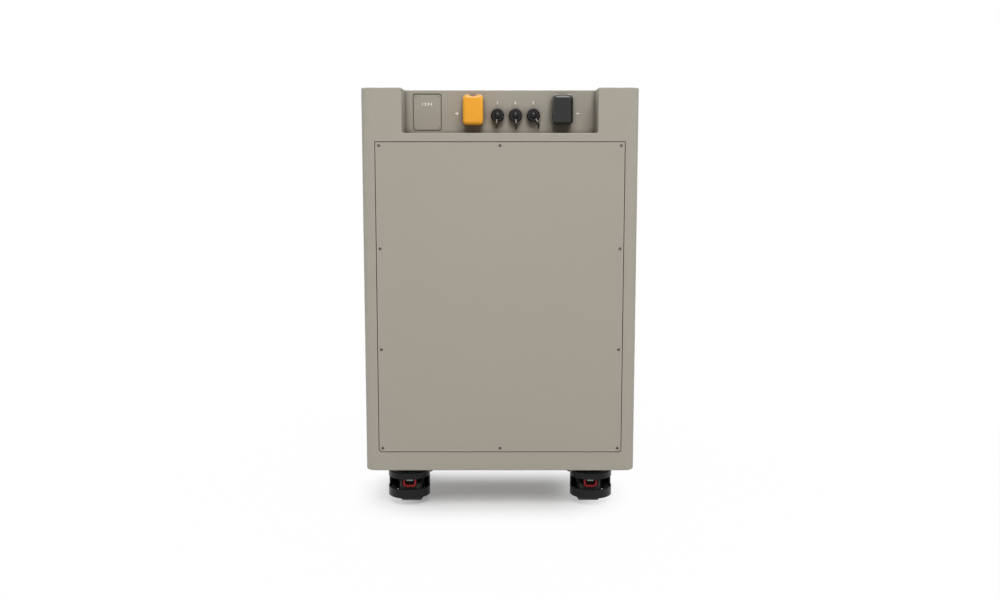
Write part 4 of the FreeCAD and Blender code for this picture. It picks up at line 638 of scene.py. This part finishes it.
@dataclass
class CountersunkScrew:
    """Flat-headed screw with a drive recess, its head's face on z = 0 and its shank below."""

    head_radius: float
    shank_radius: float
    head_height: float
    length: float
    drive: Drive
    drive_share: float = 0.5
    drive_depth_share: float = 0.7
    rim: float = 0.12 * MM
    rim_steps: int = 2
    sides: int = 32

    def model(self) -> bpy.types.Object:
        """Model the screw once.

        Returns:
            The screw, at the origin.
        """
        cutter = self.drive.cutter(self.head_radius * self.drive_share,
                                   self.head_height * self.drive_depth_share)
        deselect_everything()
        bpy.ops.mesh.primitive_cylinder_add(vertices=self.sides, radius=self.head_radius,
                                            depth=self.head_height, location=(0, 0, -self.head_height / 2))
        screw = start_piece("screw")
        bpy.ops.object.transform_apply(location=True, rotation=False, scale=False)
        bpy.ops.object.mode_set(mode="EDIT")
        pick_faces(screw, lambda face: face.normal.z < -SQUARE_ON)
        share = self.shank_radius / self.head_radius
        bpy.ops.transform.resize(value=(share, share, 1.0))
        bpy.ops.mesh.extrude_region_move(
            TRANSFORM_OT_translate={"value": (0, 0, self.head_height - self.length)})
        pick_faces(screw, lambda face: face.normal.z > SQUARE_ON)
        bpy.ops.mesh.bevel(offset=self.rim, segments=self.rim_steps, affect="EDGES")
        bpy.ops.object.mode_set(mode="OBJECT")
        combine(screw, cutter, "DIFFERENCE")
        only(screw)
        bpy.ops.object.shade_smooth_by_angle(angle=SMOOTH_TURNED)
        return screw


@dataclass
class ScrewSet:
    """Screws of one size round the edge of one plate on the service side."""

    name: str
    plate: str
    node: str
    screw: CountersunkScrew
    finish: Finish
    inset: float
    row_gaps: int
    side_gaps: int
    turn_step: float = 37.0

    def places(self) -> list[Vector]:
        """Work out the screws' places on the plate's face.

        Returns:
            The centre of each screw's head.
        """
        low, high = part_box(self.plate)
        left, right = low.x + self.inset, high.x - self.inset
        bottom, top = low.z + self.inset, high.z - self.inset
        row = [left + (right - left) * step / self.row_gaps for step in range(self.row_gaps + 1)]
        rises = [bottom + (top - bottom) * step / self.side_gaps for step in range(1, self.side_gaps)]
        points = [(x, z) for z in (bottom, top) for x in row]
        points += [(x, z) for z in rises for x in (left, right)]
        return [Vector((x, low.y, z)) for x, z in points]

    def build(self, body: str, slot: str) -> None:
        """Model one screw and copy it to every place, each turned a little differently.

        Args:
            body: the body that the screws ride on.
            slot: the record's material slot; not used.
        """
        model = self.screw.model()
        for number, place in enumerate(self.places(), start=1):
            turn = Matrix.Rotation(math.radians(self.turn_step * number), 4, "Z")
            seat = Matrix.Translation(place) @ TO_SERVICE_SIDE @ turn
            twin = copy_at(model, f"{self.name}_{number}", seat)
            finish_piece(twin, self.finish, body)
            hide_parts(self.node)
        bpy.data.objects.remove(model, do_unlink=True)


@dataclass
class Casing:
    """What is remade on the painted body: the screws of its service panel and its address hatch."""

    panel_screws: ScrewSet = field(default_factory=lambda: ScrewSet(
        "panel_screw", "service_panel", "panel_screws",
        CountersunkScrew(head_radius=2.7 * MM, shank_radius=1.45 * MM, head_height=1.4 * MM,
                         length=9 * MM, drive=Drive.LOBED),
        DARK_ZINC, inset=6.0 * MM, row_gaps=2, side_gaps=3))
    hatch_screws: ScrewSet = field(default_factory=lambda: ScrewSet(
        "hatch_screw", "address_cover", "address_cover_screws",
        CountersunkScrew(head_radius=1.6 * MM, shank_radius=0.9 * MM, head_height=0.8 * MM,
                         length=3.8 * MM, drive=Drive.HEXAGON, rim=0.08 * MM),
        PAINTED_SCREW, inset=3.3 * MM, row_gaps=1, side_gaps=1))

    def build(self) -> None:
        """Build the screws of the panel and of the hatch."""
        self.panel_screws.build("case", "screws")
        self.hatch_screws.build("case", "screws")


@dataclass
class PrintedMark:
    """Plain number, or a row of them, printed on the bay's back wall or on the hatch."""

    name: str
    text: str
    x: float
    drop: float
    height: float
    boldness: float = 0.035
    film: float = 0.05 * MM
    merge_reach: float = 0.01 * MM

    def build(self, wall_y: float, top_z: float) -> None:
        """Set the mark, turn it to a thin closed mesh and put it on its wall.

        Args:
            wall_y: the wall's face.
            top_z: the top of the body, from which the drop is measured.
        """
        deselect_everything()
        bpy.ops.object.text_add()
        piece = start_piece(self.name)
        piece.data.body = self.text
        piece.data.align_x = "CENTER"
        piece.data.align_y = "CENTER"
        piece.data.offset = self.boldness
        piece.data.extrude = self.film / 2
        bpy.ops.object.convert(target="MESH")
        piece = bpy.context.active_object
        bpy.ops.object.mode_set(mode="EDIT")
        bpy.ops.mesh.select_all(action="SELECT")
        bpy.ops.mesh.remove_doubles(threshold=self.merge_reach)
        bpy.ops.mesh.normals_make_consistent(inside=False)
        bpy.ops.object.mode_set(mode="OBJECT")
        corners = [vertex.co for vertex in piece.data.vertices]
        low = Vector([min(corner[axis] for corner in corners) for axis in range(3)])
        high = Vector([max(corner[axis] for corner in corners) for axis in range(3)])
        scale = self.height / (high.y - low.y)
        middle = Vector(((low.x + high.x) / 2, (low.y + high.y) / 2, 0))
        shape = Matrix.Diagonal((scale, scale, 1.0, 1.0)) @ Matrix.Translation(-middle)
        place = Matrix.Translation((self.x, wall_y - self.film / 2, top_z - self.drop))
        piece.data.transform(place @ TO_SERVICE_SIDE @ shape)
        finish_piece(piece, WHITE_INK, "case")


@dataclass
class PolaritySign:
    """Plus or minus sign, printed on the bay's back wall as bars that cross in its middle."""

    name: str
    x: float
    bars: Sequence[tuple[float, float]]
    film: float = 0.05 * MM

    def build(self, wall_y: float, z: float) -> None:
        """Lay the bars on the wall and join them.

        Args:
            wall_y: the wall's face.
            z: the height of the sign's middle.
        """
        middle = (self.x, wall_y - self.film / 2, z)
        sign, *crossings = [block(self.name, middle, (width, self.film, height))
                            for width, height in self.bars]
        for crossing in crossings:
            combine(sign, crossing, "UNION")
        finish_piece(sign, WHITE_INK, "case")


@dataclass
class DustCap:
    """Turning cap of a signal socket: bored body with a scalloped rim, and a domed knob on a neck.

    It is modelled with its mouth on z = 0, and then turned to face the service side.
    """

    number: int
    face: float = 12.6 * MM
    edge: float = 1.6 * MM
    bore_radius: float = 8.08 * MM
    bore_depth: float = 11.3 * MM
    scallops: int = 10
    scallop_radius: float = 1.5 * MM
    scallop_depth: float = 0.6 * MM
    scallop_length: float = 7.8 * MM
    neck_radius: float = 2.6 * MM
    knob_radius: float = 4.9 * MM
    knob_thickness: float = 2.4 * MM
    knob_dome: float = 2.0 * MM
    dome_steps: int = 8
    sides: int = 60
    scallop_sides: int = 24

    def knob(self, top: float) -> list[tuple[float, float]]:
        """List the knob's rings, from its underside over its dome.

        Args:
            top: the height of the dome's crown.

        Returns:
            The radius and the height of each ring.
        """
        rings = [(self.knob_radius, top - self.knob_thickness)]
        for step in range(self.dome_steps):
            turn = math.pi / 2 * step / self.dome_steps
            rings.append((self.knob_radius * math.cos(turn), top - self.knob_dome * (1 - math.sin(turn))))
        return rings

    def scallop_cutter(self, radius: float) -> bpy.types.Object:
        """Model the rods that cut the scallops, as one object.

        Args:
            radius: the cap's outer radius.

        Returns:
            The cutter.
        """
        reach = radius + self.scallop_radius - self.scallop_depth
        deselect_everything()
        for step in range(self.scallops):
            turn = 2 * math.pi * (step + 0.5) / self.scallops
            place = (reach * math.cos(turn), reach * math.sin(turn), 0)
            bpy.ops.mesh.primitive_cylinder_add(vertices=self.scallop_sides, radius=self.scallop_radius,
                                                depth=2 * self.scallop_length, location=place)
            if step == 0:
                piece = start_piece("scallop_cutter")
                bpy.ops.object.transform_apply(location=True, rotation=False, scale=False)
                bpy.ops.object.mode_set(mode="EDIT")
        bpy.ops.object.mode_set(mode="OBJECT")
        return piece

    def build(self) -> None:
        """Build the cap in the place of the frame's one, on the body that turns."""
        node = f"dust_cap_{self.number}"
        low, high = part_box(node)
        radius, top = (high.x - low.x) / 2, high.y - low.y
        rings = [(radius, 0.0), (radius, self.face - self.edge), (radius - self.edge, self.face),
                 (self.neck_radius, self.face), (self.neck_radius, top - self.knob_thickness)]
        cap = turned(f"scalloped_cap_{self.number}", rings + self.knob(top), self.sides)
        bore = turned("bore", [(self.bore_radius, -self.bore_depth), (self.bore_radius, self.bore_depth)],
                      self.sides)
        combine(cap, bore, "DIFFERENCE")
        combine(cap, self.scallop_cutter(radius), "DIFFERENCE")
        middle = Vector(((low.x + high.x) / 2, high.y, (low.z + high.z) / 2))
        cap.data.transform(Matrix.Translation(middle) @ TO_SERVICE_SIDE)
        only(cap)
        bpy.ops.object.shade_smooth_by_angle(angle=SMOOTH_TURNED)
        finish_piece(cap, DUST_CAP_RUBBER, node)
        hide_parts(node)


@dataclass
class Tether:
    """Cord that keeps a dust cap: a loop round the knob, a ferrule, and the cord back to an eyelet.

    The route of the cord is a list of points, in metres: sideways from the socket's middle, out from
    the bay's back wall, and below the socket's middle. The loop, the ferrule and the eyelet all hang
    at the lean, which is in degrees.
    """

    number: int
    lean: float
    route: Sequence[tuple[float, float, float]]
    length: float
    cord_radius: float = 0.8 * MM
    loop_radius: float = 3.6 * MM
    ferrule_radius: float = 1.1 * MM
    ferrule_start: float = 7.2 * MM
    ferrule_end: float = 14.0 * MM
    waist: float = 0.16 * MM
    eyelet_radius: float = 9.8 * MM
    eyelet_hole: float = 8.1 * MM
    eyelet_thickness: float = 0.8 * MM
    crimp_radius: float = 1.3 * MM
    crimp_start: float = 12.0 * MM
    crimp_end: float = 14.8 * MM
    loop_segments: int = 48
    cord_segments: int = 14
    stretch_sides: int = 20
    eyelet_sides: int = 64
    curve_steps: int = 12
    bevel_steps: int = 5

    def loop(self) -> bpy.types.Object:
        """Model the loop round the knob's neck, with the stretch of cord down into the ferrule.

        Returns:
            The loop.
        """
        deselect_everything()
        bpy.ops.mesh.primitive_torus_add(
            major_radius=self.loop_radius, minor_radius=self.cord_radius,
            major_segments=self.loop_segments, minor_segments=self.cord_segments,
            rotation=(math.radians(90), 0, 0))
        piece = start_piece(f"tether_loop_{self.number}")
        bpy.ops.object.transform_apply(location=False, rotation=True, scale=False)
        inside = -self.ferrule_start - self.cord_radius
        stretch = turned("stretch", [(self.cord_radius, inside), (self.cord_radius, -self.loop_radius)],
                         self.stretch_sides)
        combine(piece, stretch, "UNION")
        return piece

    def ferrule(self) -> bpy.types.Object:
        """Model the ferrule, swaged twice on the cord, its ends slightly rounded.

        Returns:
            The ferrule.
        """
        low, high, full = -self.ferrule_end, -self.ferrule_start, self.ferrule_radius
        third = (high - low) / 3
        rings = [(full - self.waist, low), (full, low + self.waist)]
        for centre in (low + third, high - third):
            rings += [(full, centre - 2 * self.waist), (full - self.waist, centre - self.waist),
                      (full - self.waist, centre + self.waist), (full, centre + 2 * self.waist)]
        rings += [(full, high - self.waist), (full - self.waist, high)]
        return turned(f"tether_ferrule_{self.number}", rings)

    def eyelet(self, out: float) -> bpy.types.Object:
        """Model the eyelet under the socket's flange, with its tab and its crimp.

        Args:
            out: how far the crimp's middle stands out from the wall.

        Returns:
            The eyelet, its back on the plane y = 0.
        """
        piece = turned(f"tether_eyelet_{self.number}", [
            (self.eyelet_radius, 0.0), (self.eyelet_radius, self.eyelet_thickness)], self.eyelet_sides)
        hole = turned("hole", [(self.eyelet_hole, -self.eyelet_thickness),
                               (self.eyelet_hole, 2 * self.eyelet_thickness)], self.eyelet_sides)
        combine(piece, hole, "DIFFERENCE")
        piece.data.transform(TO_SERVICE_SIDE)
        height = self.crimp_end - self.eyelet_hole - self.crimp_radius / 2
        tab = block("tab", (0, -self.eyelet_thickness / 2, height / 2 - self.crimp_end),
                    (2 * self.crimp_radius, self.eyelet_thickness, height))
        combine(piece, tab, "UNION")
        rim = self.waist
        crimp = turned("crimp", [
            (self.crimp_radius - rim, -self.crimp_end), (self.crimp_radius, rim - self.crimp_end),
            (self.crimp_radius, -self.crimp_start - rim), (self.crimp_radius - rim, -self.crimp_start)])
        crimp.data.transform(Matrix.Translation((0, -out, 0)))
        combine(piece, crimp, "UNION")
        return piece

    def cord(self, points: Sequence[Vector]) -> bpy.types.Object:
        """Lay the cord as one smooth spline through its route.

        Args:
            points: the route in the object's frame.

        Returns:
            The cord.
        """
        curve = bpy.data.curves.new(f"dust_cap_tether_{self.number}", "CURVE")
        curve.dimensions = "3D"
        spline = curve.splines.new("NURBS")
        spline.points.add(len(points) - 1)
        for control, point in zip(spline.points, points):
            control.co = (*point, 1.0)
        spline.order_u = 3
        spline.use_endpoint_u = True
        spline.resolution_u = self.curve_steps
        curve.bevel_depth = self.cord_radius
        curve.bevel_resolution = self.bevel_steps
        curve.use_fill_caps = True
        piece = bpy.data.objects.new(curve.name, curve)
        bpy.context.scene.collection.objects.link(piece)
        return piece

    def build(self, socket: Vector, wall_y: float) -> None:
        """Build the cord and its fittings on one socket.

        Args:
            socket: the middle of the socket.
            wall_y: the face of the bay's back wall.
        """
        points = [Vector((socket.x + side, wall_y - out, socket.z - drop))
                  for side, out, drop in self.route]
        tilt = Matrix.Rotation(math.radians(-self.lean), 4, "Y")
        knob_out, crimp_out = self.route[0][1], self.route[-1][1]
        loop, ferrule, eyelet = self.loop(), self.ferrule(), self.eyelet(crimp_out)
        for piece, finish, slot, out in ((loop, TETHER_JACKET, "tether_cord", knob_out),
                                         (ferrule, SWAGED_NICKEL, "tether_steel", knob_out),
                                         (eyelet, TETHER_JACKET, "tether_cord", 0.0)):
            piece.data.transform(Matrix.Translation((socket.x, wall_y - out, socket.z)) @ tilt)
            only(piece)
            bpy.ops.object.shade_smooth_by_angle(angle=SMOOTH_FITTING)
            finish_piece(piece, finish, "case")
            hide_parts("tether_fittings")
        cord = self.cord(points)
        finish_piece(cord, TETHER_JACKET, "case")
        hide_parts(f"tether_{self.number}")


TETHERS = [
    Tether(1, lean=-9.0, length=0.0300, route=[
        (-0.00224, 0.0171, 0.01412), (-0.0028, 0.0184, 0.0194), (-0.0029, 0.0144, 0.0239),
        (-0.0027, 0.0072, 0.0242), (-0.00245, 0.0022, 0.0200), (-0.00235, 0.0016, 0.01482)]),
    Tether(2, lean=5.0, length=0.0300, route=[
        (0.00125, 0.0171, 0.01425), (0.0016, 0.0184, 0.0194), (0.0019, 0.0144, 0.0240),
        (0.0018, 0.0072, 0.0243), (0.00145, 0.0022, 0.0201), (0.00131, 0.0016, 0.01494)]),
    Tether(3, lean=33.0, length=0.0326, route=[
        (0.00779, 0.0171, 0.01199), (0.0103, 0.0184, 0.0170), (0.0094, 0.0146, 0.0230),
        (0.0082, 0.0080, 0.0246), (0.0100, 0.0024, 0.0180), (0.00825, 0.0016, 0.01271)]),
]


@dataclass
class ConnectorBay:
    """What stands in the bay: the printed marks, and the dust caps with their tethers."""

    wall_thickness: float = 2.0 * MM
    signal_height: float = 4.9 * MM
    signal_drop: float = 21.8 * MM
    hatch_height: float = 5.2 * MM
    hatch_drop: float = 24.3 * MM
    hatch_boldness: float = 0.045
    polarity_drop: float = 40.9 * MM
    signs: Sequence[PolaritySign] = (
        PolaritySign("positive_mark", -76.6 * MM, [(6.9 * MM, 1.7 * MM), (1.6 * MM, 6.6 * MM)]),
        PolaritySign("negative_mark", 138.7 * MM, [(4.9 * MM, 1.9 * MM)]))

    def build(self) -> None:
        """Print the marks, build the dust caps and lay the tethers."""
        wall_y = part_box("signal_socket_nuts")[0].y - self.wall_thickness
        top_z = CAD_BOX[1].z
        caps = [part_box(f"dust_cap_{tether.number}") for tether in TETHERS]
        centres = [(low + high) / 2 for low, high in caps]
        hatch_low, hatch_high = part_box("address_cover")
        marks = [PrintedMark(f"socket_number_{number}", str(number), centre.x, self.signal_drop,
                             self.signal_height)
                 for number, centre in enumerate(centres, start=1)]
        marks.append(PrintedMark("hatch_numbers", "1 2 3 4", (hatch_low.x + hatch_high.x) / 2,
                                 self.hatch_drop, self.hatch_height, self.hatch_boldness))
        for mark in marks:
            mark.build(wall_y, top_z)
        for sign in self.signs:
            sign.build(wall_y, top_z - self.polarity_drop)
        for tether, centre in zip(TETHERS, centres):
            DustCap(tether.number).build()
            tether.build(centre, wall_y)


@dataclass(frozen=True)
class Lamp:
    """Large square soft light, with the side of its square in metres and its power in watts."""

    name: str
    place: tuple[float, float, float]
    size: float
    power: float

    def hang(self, aim: Vector) -> None:
        """Hang the lamp in its place.

        Args:
            aim: the point that it faces.
        """
        data = bpy.data.lights.new(self.name, "AREA")
        data.size = self.size
        data.energy = self.power
        lamp = bpy.data.objects.new(self.name, data)
        lamp.location = self.place
        lamp.rotation_euler = (aim - Vector(self.place)).to_track_quat("-Z", "Y").to_euler()
        bpy.context.scene.collection.objects.link(lamp)


@dataclass
class Studio:
    """Pale floor, a key light above the front, weaker ones on the sides and behind, and the camera."""

    camera_place: tuple[float, float, float] = (0.0, -2.027, 0.620)
    camera_pitch: float = 7.23
    lens: float = 39.1
    sensor: float = 36.0
    floor_size: float = 40.0
    floor_albedo: float = 0.8
    shadow_centre: tuple[float, float, float] = (-0.02, -0.035, 0.0)
    shadow_core: tuple[float, float, float] = (0.10, 0.04, 0.0)
    shadow_fall: tuple[float, float, float] = (0.172, 0.15, 1.0)
    shadow_white: tuple[float, float] = (0.23, 0.98)
    white_span: tuple[float, float] = (0.3, 1.3)
    sky_span: tuple[float, float] = (0.1, 0.9)
    sky_strength: tuple[float, float] = (0.04, 0.3)
    lamp_aim: tuple[float, float, float] = (0.0, 0.0, 0.4)
    lamps: Sequence[Lamp] = (
        Lamp("key", (0.3, -3.2, 3.8), 2.4, 158.0), Lamp("left_strip", (-2.2, -0.3, 1.2), 1.2, 10.0),
        Lamp("right_strip", (2.2, -0.3, 1.2), 1.2, 10.0), Lamp("rear", (0.0, 3.0, 2.6), 2.0, 42.0))

    def camera(self) -> None:
        """Set the camera where the photograph was taken."""
        data = bpy.data.cameras.new("camera")
        data.sensor_width = self.sensor
        data.lens = self.lens
        camera = bpy.data.objects.new("camera", data)
        camera.location = self.camera_place
        camera.rotation_euler = (math.radians(90 - self.camera_pitch), 0.0, 0.0)
        bpy.context.scene.collection.objects.link(camera)
        bpy.context.scene.camera = camera

    def seen(self, tree: bpy.types.NodeTree) -> bpy.types.NodeSocket:
        """Tell the rays that show a background from those that light the object.

        Args:
            tree: the floor's or the world's node tree.

        Returns:
            One for a camera, glossy or transmission ray, else zero.
        """
        rays = add_node(tree, "ShaderNodeLightPath").outputs
        seen = rays["Is Camera Ray"]
        for kind in ("Is Glossy Ray", "Is Transmission Ray"):
            seen = add_node(tree, "ShaderNodeMath", {"Value": seen, "Value_001": rays[kind]},
                            operation="MAXIMUM").outputs[0]
        return seen

    def world(self) -> None:
        """Light the scene from a sky that is dimmer near the floor, and show a white background."""
        world = bpy.data.worlds.new("white_studio")
        world.use_nodes = True
        tree = world.node_tree
        tree.nodes.clear()
        way = add_node(tree, "ShaderNodeTexCoord").outputs["Generated"]
        rise = add_node(tree, "ShaderNodeSeparateXYZ", {"Vector": way}).outputs["Z"]
        sky = add_node(tree, "ShaderNodeMapRange", {
            "Value": rise, "From Min": self.sky_span[0], "From Max": self.sky_span[1],
            "To Min": self.sky_strength[0], "To Max": self.sky_strength[1]},
            interpolation_type="SMOOTHSTEP")
        strength = add_node(tree, "ShaderNodeMapRange", {
            "Value": self.seen(tree), "To Min": sky.outputs[0], "To Max": 1.0})
        background = add_node(tree, "ShaderNodeBackground", {
            "Color": (1.0, 1.0, 1.0, 1.0), "Strength": strength.outputs[0]})
        add_node(tree, "ShaderNodeOutputWorld", {"Surface": background.outputs[0]})
        bpy.context.scene.world = world

    def floor(self) -> None:
        """Lay a pale floor, white but for a painted shadow region round the footprint where its shadow
        shows.
        """
        deselect_everything()
        bpy.ops.mesh.primitive_plane_add(size=self.floor_size)
        floor = start_piece("floor")
        material = bpy.data.materials.new("pale_floor")
        material.use_nodes = True
        tree = material.node_tree
        tree.nodes.clear()
        place = add_node(tree, "ShaderNodeTexCoord").outputs["Object"]
        # How far the point lies outside the painted shadow region's core, as a share of the way over which
        # it fades.
        nothing = (0.0, 0.0, 0.0)
        outside = place
        for operation, operand in (("SUBTRACT", self.shadow_centre), ("ABSOLUTE", nothing),
                                   ("SUBTRACT", self.shadow_core), ("MAXIMUM", nothing),
                                   ("DIVIDE", self.shadow_fall)):
            outside = add_node(tree, "ShaderNodeVectorMath", {"Vector": outside, "Vector_001": operand},
                               operation=operation).outputs[0]
        distance = add_node(tree, "ShaderNodeVectorMath", {"Vector": outside}, operation="LENGTH")
        shadow = add_node(tree, "ShaderNodeMapRange", {
            "Value": distance.outputs["Value"], "To Min": self.shadow_white[0],
            "To Max": self.shadow_white[1]}, interpolation_type="SMOOTHSTEP")
        reach = add_node(tree, "ShaderNodeVectorMath", {"Vector": place}, operation="LENGTH")
        white_share = add_node(tree, "ShaderNodeMapRange", {
            "Value": reach.outputs["Value"], "From Min": self.white_span[0],
            "From Max": self.white_span[1], "To Min": shadow.outputs[0]},
            interpolation_type="SMOOTHSTEP")
        share = add_node(tree, "ShaderNodeMath", {
            "Value": self.seen(tree), "Value_001": white_share.outputs[0]}, operation="MULTIPLY")
        matt = add_node(tree, "ShaderNodeBsdfDiffuse", {"Color": (*[self.floor_albedo] * 3, 1.0)})
        white = add_node(tree, "ShaderNodeEmission", {"Strength": 1.0})
        mixed = add_node(tree, "ShaderNodeMixShader", {
            "Fac": share.outputs[0], "Shader": matt.outputs[0], "Shader_001": white.outputs[0]})
        add_node(tree, "ShaderNodeOutputMaterial", {"Surface": mixed.outputs[0]})
        floor.data.materials.append(material)

    def build(self) -> None:
        """Set the camera, the world, the floor and the lamps."""
        self.camera()
        self.world()
        self.floor()
        for lamp in self.lamps:
            lamp.hang(Vector(self.lamp_aim))
        bpy.context.scene.view_settings.view_transform = "Standard"


def main() -> None:
    """Dress the frame, build the new pieces and set the studio."""
    logging.basicConfig(level=logging.INFO, format="%(name)s: %(message)s")
    DRESSING.dress()
    Casing().build()
    ConnectorBay().build()
    Studio().build()


if __name__ == "__main__":
    main()
